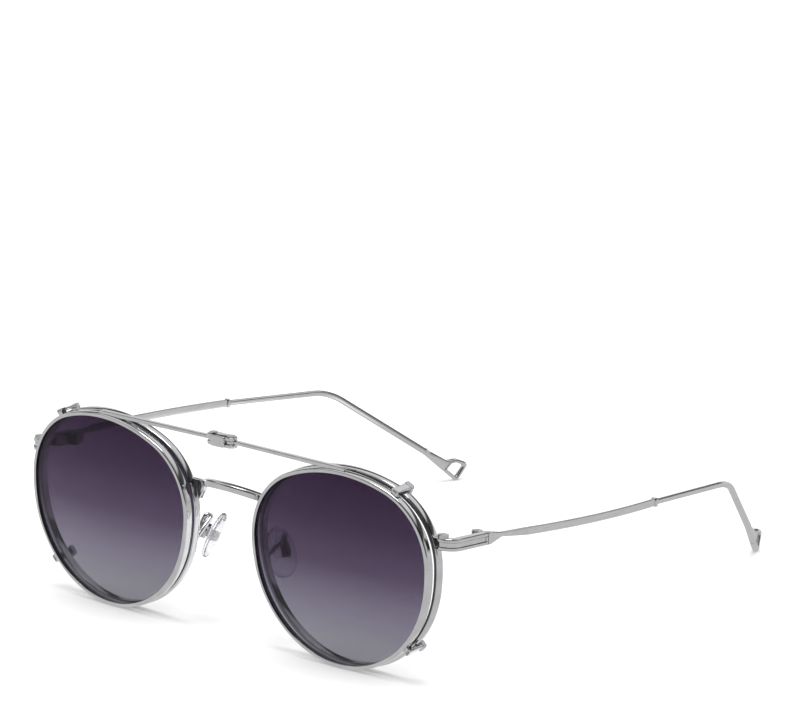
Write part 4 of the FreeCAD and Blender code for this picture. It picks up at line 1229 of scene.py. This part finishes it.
@dataclass(frozen=True)
class NosePad:
    """Soft pad, and the bent wire that carries its box."""

    middle: Triple = (11.1, 12.0, -3.2)
    half_length: float = 6.3
    half_width: float = 4.05
    half_thick: float = 1.45
    fullness: float = 0.8
    broadening: float = 0.10
    lean: float = 22.0
    back_lean: float = 10.0
    flare: float = 25.0
    box_gap: float = 0.35
    box_depth: float = 1.9
    box_height: float = 3.4
    solder: float = 0.15
    arm_radius: float = 0.6
    arm_facing: float = -171.0
    crest_out: float = 0.3
    crest_y: float = 14.2
    crest_z: float = 2.7
    bends: Pair = (0.64, 0.66)
    solids: ClassVar[dict[str, Finish]] = {
        "pad_box": POLISHED, "pad_lug": HINGE, "pad_screw": SCREW, "rim_screw": SCREW, "hinge_screw": SCREW,
        "endpiece_leaf": HINGE, "temple_leaf": HINGE, "fold_pin": SCREW}

    def spot(self, side: Side) -> Spot:
        """Axes of a pad: toward the nose, across the pad, and up along it.

        Args:
            side: side of the glasses.

        Returns:
            The pad's middle and axes.
        """
        mirror = np.array([side.value, 1.0, 1.0])
        up = unit(mirror * [-math.tan(math.radians(self.lean)), math.tan(math.radians(self.back_lean)), 1.0])
        cosine, sine = polar(self.flare)
        facing = mirror * [-cosine, sine, 0.0]
        facing = unit(facing - up * (facing @ up))
        return Spot(mirror * self.middle, facing, np.cross(up, facing), up)

    def pad(self, spot: Spot) -> Shell:
        """Pad: an oval, broader at its lower end, whose thickness falls off toward its edge.

        At an angle a round the oval and a height angle b, the place in the oval is cos b of the way
        out, and the thickness is sin b to the power of the fullness.

        Args:
            spot: the pad's middle and axes.

        Returns:
            The pad's skin.
        """
        around = np.linspace(0.0, 2 * math.pi, 64, endpoint=False)
        rise = np.linspace(-math.pi / 2, math.pi / 2, 25)[1:-1, None]
        up = self.half_length * np.cos(rise) * np.sin(around)
        broad = 1.0 - self.broadening * np.sin(around)
        across = self.half_width * broad * np.cos(rise) * np.cos(around)
        thick = self.half_thick * np.sign(np.sin(rise)) * np.abs(np.sin(rise)) ** self.fullness
        return skin(spot.out(packed(thick, across, up)))

    def arm(self, side: Side, spot: Spot) -> Shell:
        """Arm: a round wire from the rim's back, up and back to a crest, and down the back of the pad box.

        Args:
            side: side of the glasses.
            spot: the pad's middle and axes.

        Returns:
            The arm's skin.
        """
        flat = OUTLINE.edge(np.array([self.arm_facing]), FRONT.frame_width - self.arm_radius, side)
        root = OUTLINE.laid(flat, 0.0) + Y_AXIS * (FRONT.frame_front + FRONT.frame_depth - self.solder)
        root = OUTLINE.stand(root, side, FRONT.frame_x)[0]
        depth = self.half_thick + self.box_gap + self.box_depth + self.arm_radius - self.solder
        back = spot.origin - spot.x * depth
        crest = np.array([root[0] + side.value * self.crest_out, self.crest_y, self.crest_z])
        corners = [root, crest, back + spot.z * self.box_height, back - spot.z * (self.box_height / 2)]
        return round_wire(bent_path(corners, [*self.bends], 0.4, 12), self.arm_radius, 16)

    def build(self) -> None:
        """Make both pads and arms, and dress the small metal parts that stay as solids."""
        for side in Side:
            spot = self.spot(side)
            piece(side.tag + "_nose_pad", side.tag + "_pad", SILICONE, [self.pad(spot)])
            piece(side.tag + "_pad_arm", "frame", POLISHED, [self.arm(side, spot)])
            for node, finish in self.solids.items():
                dress_node(side.tag + "_" + node, finish)


@dataclass(frozen=True)
class FoldBlock:
    """Fold block of the clip: two round-ended cheeks on a web, with a plate across the front."""

    pin_x: float = 2.9
    pin_y: float = 2.75
    height: float = 2.7
    end_radius: float = 1.55
    edge: float = 0.16
    plate_half: float = 2.2
    plate_thick: float = 0.5
    plate_let_in: float = 0.3
    plate_round: float = 0.4
    plate_edge: float = 0.14
    slot_half: float = 0.445
    web_half: float = 1.4
    web_inset: float = 0.02
    web_let_in: float = 0.05
    web_round: float = 0.1
    web_edge: float = 0.02
    level: float = 24.9455

    def build(self) -> None:
        """Make the block: cheeks above and below the slots, the web between them, and the plate."""
        right = self.end_radius * polar(np.linspace(-90.0, 90.0, 19)) + [self.pin_x, 0.0]
        stadium = np.concatenate([right, -right]) + [0.0, self.pin_y]
        half, slot = self.height / 2, self.slot_half
        upper = plate(stadium, self.level + slot, self.level + half, self.edge)
        lower = plate(stadium, self.level - half, self.level - slot, self.edge)
        corners = -CORNERS * [self.web_half, self.end_radius - self.web_inset] + [0.0, self.pin_y]
        web = rounded_polygon(corners, self.web_round)
        reach = slot + self.web_let_in
        middle = plate(web, self.level - reach, self.level + reach, self.web_edge)
        face = rounded_polygon(-CORNERS * [self.plate_half, half], self.plate_round)
        rings = plate(face, 0.0, self.plate_thick + self.plate_let_in, self.plate_edge)
        x, z, depth = np.moveaxis(rings, -1, 0)
        cover = packed(x, self.pin_y - self.end_radius + self.plate_let_in - depth, z + self.level)
        piece("fold_block", "clip_centre", POLISHED, [skin(rings) for rings in (upper, lower, middle, cover)])


FOLD = FoldBlock()


@dataclass(frozen=True)
class BrowBar:
    """Bar over a clip rim, from its eyelet on the fold pin to its tip, taller toward the tip."""

    height: float = 0.73
    tip_height: float = 0.95
    depth: float = 1.7
    edge: float = 0.1
    lead: float = 0.45
    swell_x: float = 9.0
    tip_x: float = 40.4
    tip_y: float = 2.3
    tip_ends: Pair = (0.3, 0.08)
    tip_shrink: Pair = (0.9, 0.6)
    eyelet: float = 1.3
    eyelet_edge: float = 0.08
    bore: float = 0.6
    bore_wall: float = 0.2

    def build(self) -> None:
        """Make both bars: a rounded rectangle along a straight line, with a flat ring for the eyelet."""
        start = FOLD.pin_x + self.bore + self.bore_wall
        x = np.concatenate([np.linspace(start, self.swell_x, 8, endpoint=False),
                            np.linspace(self.swell_x, self.tip_x - self.tip_ends[0], 40),
                            [self.tip_x - self.tip_ends[1], self.tip_x]])
        root_y = FOLD.pin_y - self.lead + self.depth / 2
        slope = (self.tip_y - root_y) / (self.tip_x - FOLD.pin_x)
        y = root_y + slope * (x - FOLD.pin_x)
        tall = np.interp(x, [self.swell_x, self.tip_x], [self.height, self.tip_height])
        shrink = np.concatenate([np.ones(len(x) - 2), self.tip_shrink])
        sections = rounded_section(self.depth * shrink, tall * shrink, self.edge * shrink)
        ring = band(circle(self.bore), circle(self.eyelet), self.height, self.eyelet_edge)
        for side in Side:
            bar = swept(packed(side.value * x, y, FOLD.level), Z_AXIS, sections)
            eye = skin(ring + [side.value * FOLD.pin_x, FOLD.pin_y, FOLD.level], True)
            piece(side.tag + "_brow_bar", side.tag + "_clip", POLISHED, [bar, eye])


@dataclass(frozen=True)
class Claw:
    """Claw on a clip rim that reaches back over the frame rim and hooks behind it, in a soft sleeve."""

    facings: ClassVar[dict[str, float]] = {"upper": 60.0, "lower": -46.0}
    width: float = 2.0
    thickness: float = 0.7
    rounding: float = 0.26
    bend: float = 0.45
    setback: float = 0.5
    standoff: float = 0.7
    clearance: float = 0.2
    hook: float = 1.1
    wall: float = 0.3
    sleeve_round: float = 0.5
    sleeve_shrink: tuple[float, ...] = (0.72, 0.9, 1.0, 1.0, 0.97, 0.82, 0.6)
    sleeve_ends: Triple = (0.2, 0.05, 0.7)
    foot_round: float = 0.35
    foot_shrink: tuple[float, ...] = (1.0, 1.0, 1.0, 0.86)
    foot_steps: Triple = (0.2, 0.1, 0.05)
    solder: float = 0.15

    def shells(self) -> tuple[Shell, Shell, Shell]:
        """Hook, foot and sleeve, along the axes of a claw: outward, back and along the rim.

        The hook is a flat strip carried along a bent line, and the foot stands between it and the rim.
        The sleeve is a rounded bar round the hook, closed at its ends.

        Returns:
            The three skins.
        """
        rim_back = FRONT.frame_front + FRONT.frame_depth
        hook_y = rim_back + self.clearance + self.wall + self.thickness / 2
        middle, outside = self.standoff + self.thickness / 2, self.standoff + self.thickness
        corners = [np.array(p) for p in ((middle, self.setback, 0.0), (middle, hook_y, 0.0),
                                         (-self.hook, hook_y, 0.0))]
        strip = swept(bent_path(corners, [self.bend], 0.4, 8), Z_AXIS,
                      rounded_section(self.thickness, self.width, self.rounding))
        low, taper, past = self.foot_steps
        line = packed([-self.solder, low, outside - taper, outside + past],
                      (self.setback + FRONT.clip_depth) / 2, 0.0)
        sizes = (FRONT.clip_depth - self.setback, self.width, self.foot_round)
        foot = swept(line, Z_AXIS, rounded_section(*np.outer(sizes, self.foot_shrink)))
        near, taper, share = self.sleeve_ends
        line = packed([-self.hook - self.wall, -self.hook - near, -self.hook, middle, outside - taper,
                       outside + self.wall * share, outside + self.wall], hook_y, 0.0)
        sizes = (self.thickness + 2 * self.wall, self.width + 2 * self.wall, self.sleeve_round)
        sleeve = swept(line, Z_AXIS, rounded_section(*np.outer(sizes, self.sleeve_shrink), 6))
        return strip, foot, sleeve

    def build(self) -> None:
        """Make the four claws and sleeves, each square to the rim where its normal has the claw's angle."""
        for side in Side:
            for which, angle in self.facings.items():
                facing = np.array([angle])
                root = OUTLINE.laid(OUTLINE.edge(facing, FRONT.clip_width, side), 0.0)[0]
                x, z = OUTLINE.leaned(polar(facing), side)[0]
                outward = np.array([x, 0.0, z])
                spot = Spot(root, outward, Y_AXIS, np.cross(outward, Y_AXIS))
                strip, foot, sleeve = (shell.moved(OUTLINE.stand(spot.out(shell.points), side, FRONT.clip_x))
                                       for shell in self.shells())
                name, clip = side.tag + "_" + which, side.tag + "_clip"
                piece(name + "_claw", clip, POLISHED, [strip, foot])
                piece(name + "_sleeve", clip, SLEEVE, [sleeve])


# Floor, light and camera, in metres


@dataclass(frozen=True)
class Studio:
    """Plain pale floor, soft light and the camera at the photograph's viewing angle."""

    floor_size: float = 6.0
    floor_tone: float = 0.97
    white_seen: float = 0.10
    white_behind: float = 0.40
    floor_mirrored: float = 0.60
    card_half: float = 0.062
    card_from: float = -0.068
    card_to: float = 0.050
    card_edge: float = 200.0
    card_fade: float = 100.0
    height_tones: tuple[Pair, ...] = ((0.0, 0.48), (0.50, 0.68), (0.65, 0.74), (0.68, 0.08), (0.79, 0.05),
                                      (0.83, 0.82))
    room_tones: tuple[Pair, ...] = ((0.0, 1.0), (0.55, 0.90), (0.80, 0.20), (1.0, 0.04))
    ambient: float = 1.02
    sun_strength: float = 1.15
    sun_spread: float = 30.0
    sun_way: Triple = (0.0, -0.03, 1.0)
    focal_pixels: float = 4777.42
    image_width: float = 800.0
    sensor: float = 36.0
    azimuth: float = 40.578
    elevation: float = 14.011
    roll: float = 0.596
    eye: Triple = (0.760533, -0.897278, 0.348556)

    def floor(self) -> None:
        """White floor that keeps the object's shadow, and is brightest between the temples as metal sees it.

        That bright place is a rectangle whose edges fade over a short way.
        """
        mesh = bpy.data.meshes.new("floor")
        mesh.from_pydata(packed(*(-CORNERS * self.floor_size / 2).T, 0.0).tolist(), [], [(0, 1, 2, 3)])
        made = linked("floor", mesh)
        paint = bpy.data.materials.new("floor")
        board = Board(paint)
        camera, glossy, through = board.rays()
        matt = board.node("ShaderNodeBsdfDiffuse", inputs={"Color": (*grey(self.floor_tone), 1.0)})
        x, y = board.axis("X"), board.axis("Y")
        inside = ((self.card_half - x.most(0.0 - x)) * self.card_edge).clamped()
        inside = inside * ((y - self.card_from) * self.card_edge).clamped()
        inside = inside * ((self.card_to - y) * self.card_fade).clamped()
        tone = board.ramp(inside, (0.0, grey(self.floor_mirrored)), (1.0, grey(1.0)))
        share = camera * self.white_seen + through * self.white_behind
        seen = board.node("ShaderNodeMixShader", inputs={0: share, 1: matt, 2: board.glow((*grey(1.0), 1.0))})
        in_metal = glossy * (1.0 - through)
        board.shown(board.node("ShaderNodeMixShader", inputs={0: in_metal, 1: seen, 2: board.glow(tone)}))
        mesh.materials.append(paint)

    def away(self) -> Array:
        """Direction from the object to the camera."""
        (ahead, aside), (level, up) = polar(self.azimuth), polar(self.elevation)
        return np.array([aside * level, -ahead * level, up])

    def world(self) -> None:
        """Studio surroundings: a bright low sweep, a dark band above it, a bright ceiling, and a dark room
        round the camera.

        In metal the tone follows the height of a direction, and falls with the angle to the camera's
        direction. The light is even all round, and the camera itself sees white.
        """
        world = bpy.data.worlds.new("studio")
        bpy.context.scene.world = world
        board = Board(world)
        way = board.node("ShaderNodeTexCoord", output="Generated")
        height = board.node("ShaderNodeSeparateXYZ", inputs={0: way}, output="Z")
        toward = board.node("ShaderNodeVectorMath", {"operation": "DOT_PRODUCT"},
                            {0: way, 1: tuple(self.away())}, "Value")
        tones = [board.ramp(value * 0.5 + 0.5, *((at, grey(level)) for at, level in stops))
                 for value, stops in ((height, self.height_tones), (toward, self.room_tones))]
        camera, glossy, through = board.rays()
        seen = camera.most(through)
        mirrored = tones[0] * tones[1] * glossy
        lit = (1.0 - glossy) * self.ambient
        strength = (mirrored + lit) * (1.0 - seen) + seen
        sky = board.node("ShaderNodeBackground", inputs={"Color": (1.0, 1.0, 1.0, 1.0), "Strength": strength})
        board.shown(sky, "ShaderNodeOutputWorld")

    def sun(self) -> None:
        """Soft light from straight above the front."""
        light = bpy.data.lights.new("sun", "SUN")
        light.energy = self.sun_strength
        light.angle = math.radians(self.sun_spread)
        away = unit(np.array(self.sun_way))
        across = unit(np.cross(Y_AXIS, away))
        linked("sun", light).matrix_world = self.turn(across, away)

    def camera(self) -> None:
        """Camera at the photograph's viewing angle: its axes follow from azimuth, elevation and roll."""
        away = self.away()
        across = np.array([*polar(self.azimuth), 0.0])
        cosine, sine = polar(self.roll)
        right = across * cosine + np.cross(away, across) * sine
        lens = bpy.data.cameras.new("camera")
        lens.sensor_width = self.sensor
        lens.sensor_fit = "HORIZONTAL"
        lens.lens = self.focal_pixels * self.sensor / self.image_width
        made = linked("camera", lens)
        made.matrix_world = Matrix.Translation(self.eye) @ self.turn(right, away)
        bpy.context.scene.camera = made

    def turn(self, right: Array, away: Array) -> Matrix:
        """Turn of a light or camera, given its right and the direction away from what it faces."""
        return Matrix(packed(right, np.cross(away, right), away).tolist()).to_4x4()

    def build(self) -> None:
        """Make the floor, the light and the camera."""
        self.floor()
        self.world()
        self.sun()
        self.camera()
        bpy.context.scene.view_settings.view_transform = "Standard"


def main() -> None:
    """Build every piece, then the floor, light and camera."""
    logging.basicConfig(level=logging.INFO, format="%(message)s")
    for part in (FRONT, Bridge(), ENDPIECE, Temple(), NosePad(), FOLD, BrowBar(), Claw(), Studio()):
        part.build()


if __name__ == "__main__":
    main()
